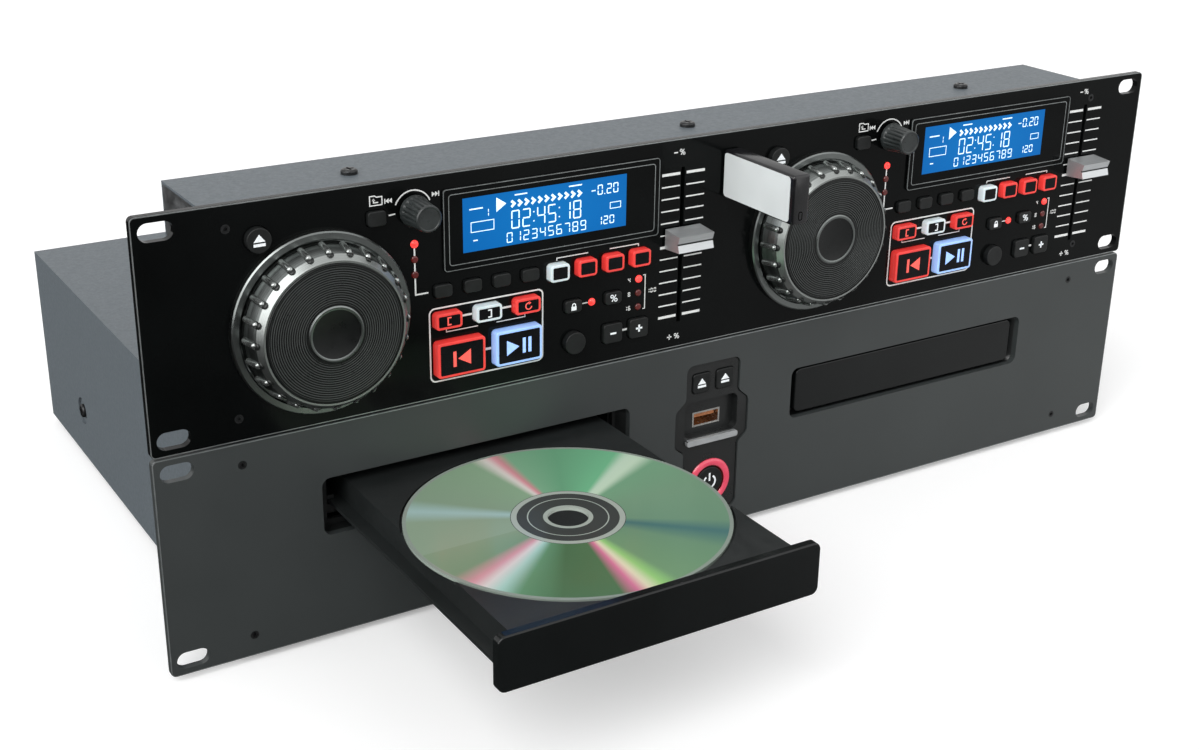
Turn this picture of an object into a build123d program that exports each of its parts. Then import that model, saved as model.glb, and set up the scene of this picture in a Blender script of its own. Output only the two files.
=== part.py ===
from build123d import *
import os

os.makedirs("parts", exist_ok=True)

# Twin disc drive with a control unit above it, as two rack-width units.
# Everything is built with y = 0 on the faces of the two front panels, y growing into the
# cases, x to the right and z up from the floor. Saving a piece slides it along y, so that
# the origin lies on the floor under the middle of the whole object.

# ---- rack panels ----
RACK_WIDTH = 482.6
RACK_UNIT = 44.45
PANEL_UNITS = 2
PANEL_GAP = 0.8
PANEL_THICKNESS = 3.0
PANEL_CORNER = 2.0
PANEL_BEVEL = 0.5
SLOT_SPACING = 465.1
SLOT_EDGE = 5.95
SLOT_LENGTH = 12.4
SLOT_HEIGHT = 6.8

# ---- cases and feet ----
SHEET = 1.0
SHEET_GAP = 0.2
CASE_WIDTH = 428.0
DRIVE_DEPTH = 263.0
DRIVE_CASE_HEIGHT = 84.8
DRIVE_CASE_LIFT = 1.2
CONTROL_DEPTH = 50.0
CONTROL_CASE_HEIGHT = 82.0
CONTROL_CASE_LIFT = 3.0
FLANGE_WIDTH = 10.0
FLANGE_EDGE = 2.2
FOOT_HEIGHT = 4.0
FOOT_RADIUS = 8.0
FOOT_INSET = 28.0
SPACER_RADIUS = 5.5
SPACER_INSET = 9.0

# ---- screws ----
PANEL_SCREW_INSET = 5.5
PANEL_SCREW_EDGE = 8.7
PANEL_SCREW_HEAD = 1.7
PANEL_SCREW_SHANK = 1.2
PANEL_SCREW_LENGTH = 4.2
HEX_SOCKET = 0.8
CASE_SCREW_HEAD = 3.2
CASE_SCREW_HEAD_HEIGHT = 1.9
CASE_SCREW_SHANK = 1.45
CASE_SCREW_LENGTH = 5.0
SCREW_CLEARANCE = 0.25
TOP_SCREW_PITCH = 151.0
TOP_SCREW_DEPTH = 26.0
RAIL_WIDTH = 14.0
SIDE_SCREW_DEPTH = 203.0
SIDE_SCREW_FRONT = 60.0
SIDE_SCREW_RISE = 24.0
DIMPLE_RADIUS = 6.5
DIMPLE_DEPTH = 1.2

# ---- deck layout: across from the jog wheel's axis, up from the panel's lower edge ----
LEFT_DECK_X = -175.6
DECK_PITCH = 225.0
JOG_RISE = 39.6
EJECT_KEY_AT = (-22.0, 74.2)
FOLDER_KEY_AT = (22.9, 75.1)
TRACK_KNOB_AT = (37.7, 76.0)
SOURCE_LAMPS_AT = (37.8, 51.1)
SOURCE_LAMP_PITCH = 5.95
MODE_KEYS_AT = (48.7, 43.3)
MODE_KEY_PITCH = 12.43
EFFECT_KEYS_AT = (98.2, 42.5)
EFFECT_KEY_PITCH = 12.53
LOOP_KEYS_AT = (50.1, 31.7)
LOOP_KEY_PITCH = 16.95
CUE_KEY_AT = (54.8, 16.2)
PLAY_KEY_AT = (79.7, 16.2)
TEMPO_LOCK_KEY_AT = (105.2, 27.1)
TEMPO_LAMP_AT = (114.2, 27.1)
PITCH_RANGE_KEY_AT = (123.7, 27.4)
PITCH_LAMPS_AT = (136.2, 21.1)
PITCH_LAMP_PITCH = 5.95
TAP_KEY_AT = (105.7, 11.8)
BEND_MINUS_KEY_AT = (123.7, 12.4)
BEND_PLUS_KEY_AT = (136.0, 12.4)
WINDOW_AT = (96.85, 66.2)
FADER_AT = (156.2, 43.8)

# ---- keys ----
ROUND_KEY = 9.2
FOLDER_KEY = (7.3, 5.6)
MODE_KEY = (7.4, 5.0)
EFFECT_KEY = (8.6, 6.9)
LOOP_KEY = (11.1, 6.4)
TRANSPORT_KEY = (20.3, 14.2)
PITCH_KEY = (7.6, 5.2)
BEND_KEY = (8.8, 8.2)
SMALL_KEY_PROUD = 1.6
ROUND_KEY_PROUD = 2.6
LIT_KEY_PROUD = 3.0
TRANSPORT_KEY_PROUD = 3.5
KEY_CORNER = 1.4
KEY_EDGE = 0.4
KEY_CLEARANCE = 0.35
KEY_SKIRT = 0.7
SKIRT_THICKNESS = 1.3
SKIRT_GAP = 0.3
KEY_STEM = 1.5
KEY_WEB = 2.0
KEY_TRAVEL = 0.8
SWITCH_SIZE = 6.0
SWITCH_HEIGHT = 3.8
BOARD_DEPTH = 14.0
BOARD_THICKNESS = 1.6
BOARD_MARGIN = 5.0

# ---- jog wheels ----
SURROUND_RADIUS = 34.5
SURROUND_INNER = 31.4
SURROUND_PROUD = 3.0
SURROUND_FLOOR = 0.8
WHEEL_GAP = 0.8
WHEEL_BASE_RADIUS = 30.9
WHEEL_TOP_RADIUS = 28.9
WHEEL_LIP_RADIUS = 27.0
WHEEL_SIDE_DEPTH = 11.5
WHEEL_PROUD = 14.0
WHEEL_WALL = 2.4
WHEEL_WEB = 2.0
WHEEL_HUB = 8.0
SPINDLE_RADIUS = 4.0
SPINDLE_LENGTH = 14.0
BEARING_LENGTH = 12.0
BEARING_WALL = 3.0
RUNNING_FIT = 0.05
RIB_COUNT = 24
RIB_RADIUS = 1.3
RIB_START = 4.8
RIB_END = 10.6
PLATE_RADIUS = 26.1
PLATE_RECESS = 1.0
PLATE_THICKNESS = 1.2
PLATE_FIT = 0.2
CAP_RING_OUTER = 10.6
CAP_RING_INNER = 9.2
CAP_RING_PROUD = 0.4

# ---- track knobs ----
KNOB_BASE_RADIUS = 6.0
KNOB_TIP_RADIUS = 5.1
KNOB_GAP = 1.2
KNOB_PROUD = 13.5
KNOB_SKIRT = 2.0
SHAFT_RADIUS = 3.0
SHAFT_PROUD = 9.5
SHAFT_INNER = 9.5
SHAFT_TRAVEL = 0.5
ENCODER_RADIUS = 6.0

# ---- pitch faders ----
FADER_SLOT = (1.8, 65.4)
FADER_TRAVEL = 60.0
FADER_REST = 4.2
FADER_CAP_WIDTH = 16.8
FADER_CAP_HEIGHT = 8.2
FADER_CAP_GAP = 1.0
FADER_CAP_PROUD = 11.2
FADER_LEVER = (1.0, 4.0)
FADER_LEVER_REACH = 9.0
FADER_BODY_WIDTH = 10.0
FADER_BODY_DEPTH = 8.0
FADER_BODY_END = 1.2
FADER_GROOVE = 0.7

# ---- displays and lamps ----
WINDOW_SIZE = (95.2, 31.8)
WINDOW_PROUD = 1.2
WINDOW_CORNER = 1.5
WINDOW_EDGE = 0.6
WINDOW_PLUG_MARGIN = 2.6
WINDOW_PLUG_FIT = 0.3
SCREEN_SIZE = (76.0, 25.0)
SCREEN_GAP = 0.8
SCREEN_DEPTH = 9.0
LAMP_RADIUS = 1.4
LAMP_PROUD = 0.5
LAMP_FIT = 0.1
LAMP_COUNT = 3

# ---- ports and memory stick ----
PORT_OPENING = (12.6, 5.2)
PORT_WALL = 0.8
PORT_DEPTH = 14.0
TONGUE = (10.4, 1.4)
TONGUE_LENGTH = 9.0
TONGUE_OFFSET = 1.0
UPPER_PORT_AT = (4.1, 71.3)
STICK_SIZE = (8.5, 20.2)
STICK_LENGTH = 45.0
STICK_GAP = 1.0
STICK_CORNER = 1.2
PLUG_SHELL = (12.0, 4.5)
PLUG_LENGTH = 11.5
PLUG_VOID = (11.3, 2.2)

# ---- trays, doors and disc ----
TRAY_PITCH = 220.5
MOUTH_RISE = 54.4
MOUTH_SIZE = (136.5, 23.8)
MOUTH_CORNER = 3.5
FUNNEL_END = (131.0, 22.2)
FUNNEL_DEPTH = 4.0
THROAT_SIZE = (128.0, 18.2)
THROAT_DEPTH = 2.0
BEZEL_MARGIN = 2.5
DOOR_SIZE = (129.0, 20.7)
DOOR_CORNER = 3.0
DOOR_THICKNESS = 3.5
DOOR_EDGE = 0.6
DOOR_SET_BACK = 1.8
TRAY_REACH = 130.5
TRAY_WIDTH = 114.0
TRAY_LENGTH = 150.0
TRAY_TOP_RISE = 7.6
TRAY_PLATE = 2.8
TRAY_SKIRT = 11.0
TRAY_WALL = 1.5
LEDGE_REACH = 5.0
LEDGE_THICKNESS = 1.5
DISC_RADIUS = 60.0
DISC_HOLE_RADIUS = 7.5
DISC_THICKNESS = 1.2
DISC_LIFT = 0.3
DISC_SETTING = 62.0
WELL_CLEARANCE = 1.0
WELL_DEPTH = 1.3
SPINDLE_SLOT = 17.0
SPINDLE_SLOT_LENGTH = 46.0

# ---- loaders ----
LOADER_WALL = 2.0
LOADER_GAP = 1.0
LOADER_LENGTH = 160.0
LOADER_HEIGHT = 22.0
GUIDE_GAP = 0.4
GUIDE_THICKNESS = 1.5
GUIDE_REACH = 3.0
TURNTABLE_RADIUS = 14.5
TURNTABLE_GAP = 0.8
BRIDGE_WIDTH = 26.0
BRIDGE_LIFT = 6.0
PUCK_RADIUS = 15.0
PUCK_THICKNESS = 3.0
STAND_WIDTH = 110.0
STAND_THICKNESS = 1.5

# ---- centre console ----
CONSOLE_SET_BACK = 0.8
CONSOLE_FIT = 0.4
CONSOLE_TOP = 78.0
CONSOLE_SHOULDER = 62.5
CONSOLE_WAIST_TOP = 58.0
CONSOLE_WAIST_BOTTOM = 42.0
CONSOLE_HIP = 38.5
CONSOLE_BOTTOM = 8.0
CONSOLE_TOP_HALF = 13.4
CONSOLE_WAIST_HALF = 18.6
CONSOLE_LOWER_HALF = 14.0
CONSOLE_CORNER = 3.0
CONSOLE_RIM = 2.2
CONSOLE_RIM_THICKNESS = 1.6
POCKET_SIZE = (27.4, 16.6)
POCKET_RISE = 53.0
POCKET_WALL = 1.5
POCKET_PORT_RISE = 51.0
LIP_SIZE = (26.0, 2.4)
LIP_RISE = 42.9
LIP_PROUD = 1.6
CONSOLE_KEY = (8.8, 8.8)
CONSOLE_KEY_X = 6.0
CONSOLE_KEY_RISE = 69.6
POWER_RISE = 22.0
POWER_RING_OUTER = 11.0
POWER_RING_INNER = 7.5
POWER_RING_PROUD = 0.6
POWER_KEY_RADIUS = 6.9
CONSOLE_BOARD_HALF = 15.0

# ---- rear sockets ----
JACK_REACH = 8.0
JACK_RADIUS = 4.15
JACK_BORE = 1.7
JACK_PITCH_X = 18.0
JACK_PITCH_Z = 18.0
JACK_BLOCK_DEPTH = 10.0
DRIVE_JACKS_X = (90.0, 150.0)
DRIVE_JACKS_RISE = 44.0
LINK_SOCKET = 16.0
LINK_BORE = 4.2
LINK_DEPTH = 7.0
LINK_PROUD = 1.5
LINK_SOCKETS_X = (-12.0, 12.0)
LINK_RISE = 40.0
INLET_SIZE = (30.0, 24.0)
INLET_RECESS = (24.0, 17.0)
INLET_DEPTH = 17.0
INLET_PIN = (2.0, 4.0)
INLET_PIN_LENGTH = 11.0
INLET_PIN_SPREAD = 7.0
INLET_X = -170.0
INLET_RISE = 40.0

# ---- boards in the drive ----
MAIN_BOARD = (170.0, 80.0)
MAIN_BOARD_Y = 215.0
MAIN_BOARD_X = 85.0
POWER_BOARD = (120.0, 80.0)
POWER_BOARD_X = -125.0
STANDOFF_HEIGHT = 6.0
STANDOFF_RADIUS = 3.0
STANDOFF_INSET = 6.0
TRANSFORMER = (46.0, 40.0, 36.0)

# ---- worked out from the sizes above ----
PANEL_HEIGHT = PANEL_UNITS * RACK_UNIT - PANEL_GAP
DRIVE_Z = FOOT_HEIGHT - DRIVE_CASE_LIFT
CONTROL_Z = DRIVE_Z + PANEL_UNITS * RACK_UNIT
DRIVE_TOP = FOOT_HEIGHT + DRIVE_CASE_HEIGHT
CONTROL_FLOOR = CONTROL_Z + CONTROL_CASE_LIFT
CONTROL_TOP = CONTROL_FLOOR + CONTROL_CASE_HEIGHT
SPACER_HEIGHT = CONTROL_FLOOR - DRIVE_TOP
PANEL_SCREW_X = CASE_WIDTH / 2 - PANEL_SCREW_INSET
SLOT_SPACING_Z = PANEL_HEIGHT - 2 * SLOT_EDGE
BACK_REACH = DRIVE_DEPTH + JACK_REACH
FACE_Y = (TRAY_REACH - BACK_REACH) / 2
DECKS = {"left": LEFT_DECK_X, "right": LEFT_DECK_X + DECK_PITCH}
TRAYS = {"left": -TRAY_PITCH / 2, "right": TRAY_PITCH / 2}
MOUTH_Z = DRIVE_Z + MOUTH_RISE
TRAY_TRAVEL = TRAY_REACH + DOOR_SET_BACK
TRAY_TOP = MOUTH_Z + TRAY_TOP_RISE
LEDGE_Z = TRAY_TOP - TRAY_SKIRT
DISC_Z = TRAY_TOP - WELL_DEPTH + DISC_LIFT
CONSOLE_BACK = PANEL_THICKNESS + CONSOLE_RIM_THICKNESS
POCKET_DEPTH = CONSOLE_BACK - CONSOLE_SET_BACK
KEY_STEM_END = BOARD_DEPTH - SWITCH_HEIGHT - KEY_TRAVEL - SKIRT_GAP
WHEEL_BASE_Y = -SURROUND_FLOOR - WHEEL_GAP
PLATE_Y = PLATE_RECESS - WHEEL_PROUD


# ---- small helpers ----
def block(x, y, z):
    """A box between pairs of x, y and z limits."""
    middle = ((x[0] + x[1]) / 2, (y[0] + y[1]) / 2, (z[0] + z[1]) / 2)
    return Pos(*middle) * Box(x[1] - x[0], y[1] - y[0], z[1] - z[0])


def facing(y):
    """A sketch plane parallel to the panels at depth y, seen from the front."""
    return Plane(origin=(0, y, 0), x_dir=(1, 0, 0), z_dir=(0, -1, 0))


def prism(outline, y):
    """An outline drawn as seen from the front, thickened between two depths."""
    return extrude(facing(y[0]) * outline, amount=y[1] - y[0], dir=(0, 1, 0))


def slab(x, z, size, corner, y):
    """A rounded plate centred on x, z between two depths."""
    return prism(Pos(x, z) * RectangleRounded(size[0], size[1], corner), y)


def bar(x, z, size, y):
    """A square-cornered plate centred on x, z between two depths."""
    return prism(Pos(x, z) * Rectangle(size[0], size[1]), y)


def rod(x, z, radius, y):
    """A round bar along y, centred on x, z between two depths."""
    return prism(Pos(x, z) * Circle(radius), y)


def turned(outline, x, z):
    """A closed outline of (radius, depth) points, turned about the y axis through x, z."""
    return Pos(x, 0, z) * revolve(make_face(Polyline(*outline, close=True)), axis=Axis.Y)


def grown(size, margin):
    """A width and height with the same margin on every side."""
    return (size[0] + 2 * margin, size[1] + 2 * margin)


def front_edges(solid):
    """The outer edges of a solid's foremost face."""
    return solid.faces().sort_by(Axis.Y)[0].outer_wire().edges()


def on_deck(deck_x, spot):
    """A place on a deck as x and z."""
    return (deck_x + spot[0], CONTROL_Z + spot[1])


def row_of(spot, pitch, count):
    """Places in a row across a deck."""
    return [(spot[0] + pitch * i, spot[1]) for i in range(count)]


def column_of(spot, pitch, count):
    """Places in a column up a deck."""
    return [(spot[0], spot[1] + pitch * i) for i in range(count)]


def save(node, *solids):
    """Write one node, moved to the object's own origin."""
    placed = [Pos(0, FACE_Y, 0) * solid for solid in solids]
    whole = placed[0] if len(placed) == 1 else Compound(placed)
    export_step(whole, f"parts/{node}.step")


# ---- what each deck carries ----
KEY_LAYOUT = {
    "eject_key": ([EJECT_KEY_AT], None, ROUND_KEY_PROUD),
    "folder_key": ([FOLDER_KEY_AT], FOLDER_KEY, SMALL_KEY_PROUD),
    "mode_keys": (row_of(MODE_KEYS_AT, MODE_KEY_PITCH, 4), MODE_KEY, SMALL_KEY_PROUD),
    "effect_keys": (row_of(EFFECT_KEYS_AT, EFFECT_KEY_PITCH, 4), EFFECT_KEY, LIT_KEY_PROUD),
    "loop_keys": (row_of(LOOP_KEYS_AT, LOOP_KEY_PITCH, 3), LOOP_KEY, LIT_KEY_PROUD),
    "cue_key": ([CUE_KEY_AT], TRANSPORT_KEY, TRANSPORT_KEY_PROUD),
    "play_key": ([PLAY_KEY_AT], TRANSPORT_KEY, TRANSPORT_KEY_PROUD),
    "tempo_lock_key": ([TEMPO_LOCK_KEY_AT], PITCH_KEY, SMALL_KEY_PROUD),
    "pitch_range_key": ([PITCH_RANGE_KEY_AT], PITCH_KEY, SMALL_KEY_PROUD),
    "tap_key": ([TAP_KEY_AT], None, ROUND_KEY_PROUD),
    "bend_minus_key": ([BEND_MINUS_KEY_AT], BEND_KEY, SMALL_KEY_PROUD),
    "bend_plus_key": ([BEND_PLUS_KEY_AT], BEND_KEY, SMALL_KEY_PROUD),
}
LAMP_SPOTS = (column_of(SOURCE_LAMPS_AT, SOURCE_LAMP_PITCH, LAMP_COUNT)
              + [TEMPO_LAMP_AT]
              + column_of(PITCH_LAMPS_AT, PITCH_LAMP_PITCH, LAMP_COUNT))


# ---- keys ----
def cap_outline(size, margin=0.0):
    """A key cap's outline: round where it has no width and height of its own."""
    if size is None:
        return Circle(ROUND_KEY / 2 + margin)
    width, height = grown(size, margin)
    return RectangleRounded(width, height, KEY_CORNER + margin)


def key_cap(x, z, size, proud, behind):
    """A key cap with its skirt behind the wall and its stem towards the switch."""
    place = Pos(x, z)
    skirt_y = behind + SKIRT_GAP
    cap = prism(place * cap_outline(size), (-proud, skirt_y))
    cap = fillet(front_edges(cap), KEY_EDGE)
    skirt = prism(place * cap_outline(size, KEY_SKIRT), (skirt_y, skirt_y + SKIRT_THICKNESS))
    stem = rod(x, z, KEY_STEM, (skirt_y + SKIRT_THICKNESS, KEY_STEM_END))
    return cap + skirt + stem


def deck_key(deck_x, spots, size, proud):
    """One key, or a strip of keys on one moulding."""
    places = [on_deck(deck_x, spot) for spot in spots]
    caps = [key_cap(x, z, size, proud, PANEL_THICKNESS) for x, z in places]
    key = caps[0]
    for cap in caps[1:]:
        key = key + cap
    if len(places) > 1:
        skirt_y = PANEL_THICKNESS + SKIRT_GAP
        web_x = (places[0][0], places[-1][0])
        web_z = (places[0][1] - KEY_WEB / 2, places[0][1] + KEY_WEB / 2)
        key = key + block(web_x, (skirt_y, skirt_y + SKIRT_THICKNESS), web_z)
    return key


def console_key_places():
    """The two eject keys on the console, as x and z."""
    return {
        "left": (-CONSOLE_KEY_X, DRIVE_Z + CONSOLE_KEY_RISE),
        "right": (CONSOLE_KEY_X, DRIVE_Z + CONSOLE_KEY_RISE),
    }


def console_eject_key(x, z):
    """A square eject key on the console."""
    return key_cap(x, z, CONSOLE_KEY, 0.0, CONSOLE_BACK)


def power_key():
    """The round power key inside its lit ring."""
    z = DRIVE_Z + POWER_RISE
    skirt_y = CONSOLE_BACK + SKIRT_GAP
    cap = fillet(front_edges(rod(0, z, POWER_KEY_RADIUS, (0, skirt_y))), KEY_EDGE)
    skirt_radius = POWER_RING_INNER + KEY_SKIRT
    skirt = rod(0, z, skirt_radius, (skirt_y, skirt_y + SKIRT_THICKNESS))
    stem = rod(0, z, KEY_STEM, (skirt_y + SKIRT_THICKNESS, KEY_STEM_END))
    return cap + skirt + stem


# ---- panels ----
def rack_panel(base_z):
    """A rack panel with bevelled front edges and a slot near each corner."""
    z = base_z + PANEL_HEIGHT / 2
    panel = slab(0, z, (RACK_WIDTH, PANEL_HEIGHT), PANEL_CORNER, (0, PANEL_THICKNESS))
    panel = chamfer(front_edges(panel), PANEL_BEVEL)
    cuts = []
    for side in (-1, 1):
        for end in (-1, 1):
            slot_x = side * SLOT_SPACING / 2
            slot_z = z + end * SLOT_SPACING_Z / 2
            slot = Pos(slot_x, slot_z) * SlotOverall(SLOT_LENGTH, SLOT_HEIGHT)
            cuts.append(prism(slot, (0, PANEL_THICKNESS)))
            screw_z = z + end * (PANEL_HEIGHT / 2 - PANEL_SCREW_EDGE)
            screw_x = side * PANEL_SCREW_X
            cuts.append(rod(screw_x, screw_z, PANEL_SCREW_HEAD, (0, PANEL_THICKNESS / 2)))
            cuts.append(rod(screw_x, screw_z, PANEL_SCREW_SHANK, (0, PANEL_THICKNESS)))
    return panel - cuts


def control_panel():
    """The control unit's front, pierced for everything on both decks."""
    through = (0, PANEL_THICKNESS)
    cuts = []
    for deck_x in DECKS.values():
        for spots, size, proud in KEY_LAYOUT.values():
            for spot in spots:
                hole = Pos(*on_deck(deck_x, spot)) * cap_outline(size, KEY_CLEARANCE)
                cuts.append(prism(hole, through))
        for spot in LAMP_SPOTS:
            cuts.append(rod(*on_deck(deck_x, spot), LAMP_RADIUS + LAMP_FIT, through))
        tube = SPINDLE_RADIUS + BEARING_WALL + SHEET_GAP
        cuts.append(rod(deck_x, CONTROL_Z + JOG_RISE, tube, through))
        cuts.append(rod(*on_deck(deck_x, TRACK_KNOB_AT), SHAFT_RADIUS + KEY_CLEARANCE, through))
        opening = grown(WINDOW_SIZE, -WINDOW_PLUG_MARGIN)
        cuts.append(bar(*on_deck(deck_x, WINDOW_AT), opening, through))
        cuts.append(bar(*on_deck(deck_x, FADER_AT), FADER_SLOT, through))
    port_z = CONTROL_Z + UPPER_PORT_AT[1]
    port = grown(PORT_OPENING, PORT_WALL + SHEET_GAP)
    cuts.append(bar(UPPER_PORT_AT[0], port_z, port[::-1], through))
    return rack_panel(CONTROL_Z) - cuts


def drive_panel():
    """The drive unit's front, with two tray mouths and the console's opening."""
    through = (0, PANEL_THICKNESS)
    cuts = [prism(console_outline(CONSOLE_FIT), through)]
    for tray_x in TRAYS.values():
        cuts.append(slab(tray_x, MOUTH_Z, MOUTH_SIZE, MOUTH_CORNER, through))
    return rack_panel(DRIVE_Z) - cuts


# ---- cases ----
def top_screw_places():
    """The control unit's top screws, as x and y."""
    return [(TOP_SCREW_PITCH * i, TOP_SCREW_DEPTH) for i in (-1, 0, 1)]


def control_cover():
    """The control unit's top sheet, folded down over its back."""
    half = CASE_WIDTH / 2
    depth = (PANEL_THICKNESS, CONTROL_DEPTH)
    top = block((-half, half), depth, (CONTROL_TOP - SHEET, CONTROL_TOP))
    back_y = (CONTROL_DEPTH - SHEET, CONTROL_DEPTH)
    cover = top + block((-half, half), back_y, (CONTROL_FLOOR, CONTROL_TOP))
    radius = CASE_SCREW_SHANK + SCREW_CLEARANCE
    holes = [Pos(x, y, CONTROL_TOP) * Cylinder(radius, 4 * SHEET) for x, y in top_screw_places()]
    for x in LINK_SOCKETS_X:
        size = grown((LINK_SOCKET, LINK_SOCKET), -LINK_PROUD)
        holes.append(bar(x, CONTROL_Z + LINK_RISE, size, back_y))
    return cover - holes


def control_chassis():
    """The control unit's floor and sides, with a top rail and front flanges."""
    half = CASE_WIDTH / 2
    depth = (PANEL_THICKNESS, CONTROL_DEPTH - SHEET - SHEET_GAP)
    under_top = CONTROL_TOP - SHEET
    tray = block((-half, half), depth, (CONTROL_FLOOR, CONTROL_FLOOR + SHEET))
    rail_y = (TOP_SCREW_DEPTH - RAIL_WIDTH / 2, TOP_SCREW_DEPTH + RAIL_WIDTH / 2)
    tray = tray + block((-half, half), rail_y, (under_top - SHEET, under_top))
    for side in (-1, 1):
        wall_x = sorted((side * half, side * (half - SHEET)))
        tray = tray + block(wall_x, depth, (CONTROL_FLOOR, under_top))
    holes = [Pos(x, y, under_top) * Cylinder(CASE_SCREW_SHANK, 4 * SHEET)
             for x, y in top_screw_places()]
    return tray + panel_tabs(CONTROL_Z, CONTROL_FLOOR, under_top) - holes


def panel_screw_places(base_z):
    """A panel's four screws, as x and z."""
    z = base_z + PANEL_HEIGHT / 2
    rise = PANEL_HEIGHT / 2 - PANEL_SCREW_EDGE
    return [(i * PANEL_SCREW_X, z + j * rise) for i in (-1, 1) for j in (-1, 1)]


def panel_tabs(base_z, floor, top):
    """The tabs of a chassis behind its panel's screws, one in each corner."""
    tab_y = (PANEL_THICKNESS, PANEL_THICKNESS + SHEET)
    half = CASE_WIDTH / 2 - SHEET - SHEET_GAP
    tabs = []
    for x, z in panel_screw_places(base_z):
        outer = half if x > 0 else -half
        inner = outer - FLANGE_WIDTH if x > 0 else outer + FLANGE_WIDTH
        low = z < base_z + PANEL_HEIGHT / 2
        tab_z = (floor, z + FLANGE_EDGE) if low else (z - FLANGE_EDGE, top)
        tab = block(sorted((inner, outer)), tab_y, tab_z)
        tabs.append(tab - rod(x, z, PANEL_SCREW_SHANK, tab_y))
    return tabs


def side_screw_places():
    """The drive's side screws, as side, y and z."""
    z = FOOT_HEIGHT + SIDE_SCREW_RISE
    return [(i, y, z) for i in (-1, 1) for y in (SIDE_SCREW_FRONT, SIDE_SCREW_DEPTH)]


def drive_cover():
    """The drive's top and sides, folded from one sheet, dished round each side screw."""
    half = CASE_WIDTH / 2
    depth = (PANEL_THICKNESS, DRIVE_DEPTH)
    cover = block((-half, half), depth, (DRIVE_TOP - SHEET, DRIVE_TOP))
    for side in (-1, 1):
        wall_x = sorted((side * half, side * (half - SHEET)))
        cover = cover + block(wall_x, depth, (FOOT_HEIGHT, DRIVE_TOP))
    for side, y, z in side_screw_places():
        seat = Pos(side * half, y, z) * Rot(0, 90, 0)
        inner = Pos(side * (half - SHEET / 2 - DIMPLE_DEPTH / 2), y, z) * Rot(0, 90, 0)
        cover = cover + inner * Cylinder(DIMPLE_RADIUS + SHEET, SHEET + DIMPLE_DEPTH)
        cover = cover - seat * Cylinder(DIMPLE_RADIUS, 2 * DIMPLE_DEPTH)
        cover = cover - seat * Cylinder(CASE_SCREW_SHANK + SCREW_CLEARANCE, 8 * SHEET)
    return cover


def drive_chassis():
    """The drive's floor, back wall, side upstands and front flanges."""
    half = CASE_WIDTH / 2 - SHEET - SHEET_GAP
    depth = (PANEL_THICKNESS, DRIVE_DEPTH)
    top = DRIVE_TOP - SHEET - SHEET_GAP
    chassis = block((-half, half), depth, (FOOT_HEIGHT, FOOT_HEIGHT + SHEET))
    back_y = (DRIVE_DEPTH - SHEET, DRIVE_DEPTH)
    chassis = chassis + block((-half, half), back_y, (FOOT_HEIGHT, top))
    for side, y, z in side_screw_places():
        tab_x = sorted((side * (half - DIMPLE_DEPTH), side * (half - DIMPLE_DEPTH - SHEET)))
        reach = DIMPLE_RADIUS + SHEET
        tab = block(tab_x, (y - reach, y + reach), (FOOT_HEIGHT, z + reach))
        hole = Pos(tab_x[0], y, z) * Rot(0, 90, 0) * Cylinder(CASE_SCREW_SHANK, 4 * SHEET)
        chassis = chassis + (tab - hole)
    holes = []
    for group_x in DRIVE_JACKS_X:
        for x, z in jack_places(group_x):
            holes.append(rod(x, z, JACK_RADIUS, back_y))
    for x in LINK_SOCKETS_X:
        size = grown((LINK_SOCKET, LINK_SOCKET), -LINK_PROUD)
        holes.append(bar(x, DRIVE_Z + LINK_RISE, size, back_y))
    inlet = grown(INLET_RECESS, LINK_PROUD)
    holes.append(bar(INLET_X, DRIVE_Z + INLET_RISE, inlet, back_y))
    return chassis + panel_tabs(DRIVE_Z, FOOT_HEIGHT, top) - holes


def feet():
    """Four feet under the drive and four spacers under the control unit."""
    solids = []
    across = CASE_WIDTH / 2 - FOOT_INSET
    for x in (-across, across):
        for y in (FOOT_INSET, DRIVE_DEPTH - FOOT_INSET):
            foot = Pos(x, y, FOOT_HEIGHT / 2) * Cylinder(FOOT_RADIUS, FOOT_HEIGHT)
            solids.append(foot)
        for y in (PANEL_THICKNESS + SPACER_INSET, CONTROL_DEPTH - SPACER_INSET):
            middle = DRIVE_TOP + SPACER_HEIGHT / 2
            solids.append(Pos(x, y, middle) * Cylinder(SPACER_RADIUS, SPACER_HEIGHT))
    return solids


# ---- screws ----
def panel_screw(x, z):
    """A panel screw, sunk flush, with a hexagon socket."""
    head = rod(x, z, PANEL_SCREW_HEAD, (0, PANEL_THICKNESS / 2))
    shank = rod(x, z, PANEL_SCREW_SHANK, (PANEL_THICKNESS / 2, PANEL_SCREW_LENGTH))
    socket = prism(Pos(x, z) * RegularPolygon(HEX_SOCKET, 6), (0, PANEL_THICKNESS / 3))
    return head + shank - socket


def case_screw():
    """A pan-head screw standing on z = 0, with a cross recess."""
    head = Pos(0, 0, CASE_SCREW_HEAD_HEIGHT / 2) * Cylinder(CASE_SCREW_HEAD, CASE_SCREW_HEAD_HEIGHT)
    head = fillet(head.edges().group_by(Axis.Z)[-1], CASE_SCREW_HEAD_HEIGHT / 2)
    recess = Box(CASE_SCREW_HEAD * 1.2, CASE_SCREW_HEAD / 4, CASE_SCREW_HEAD_HEIGHT)
    recess = Pos(0, 0, CASE_SCREW_HEAD_HEIGHT) * (recess + Rot(0, 0, 90) * recess)
    shank = Pos(0, 0, -CASE_SCREW_LENGTH / 2) * Cylinder(CASE_SCREW_SHANK, CASE_SCREW_LENGTH)
    return head + shank - recess


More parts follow.
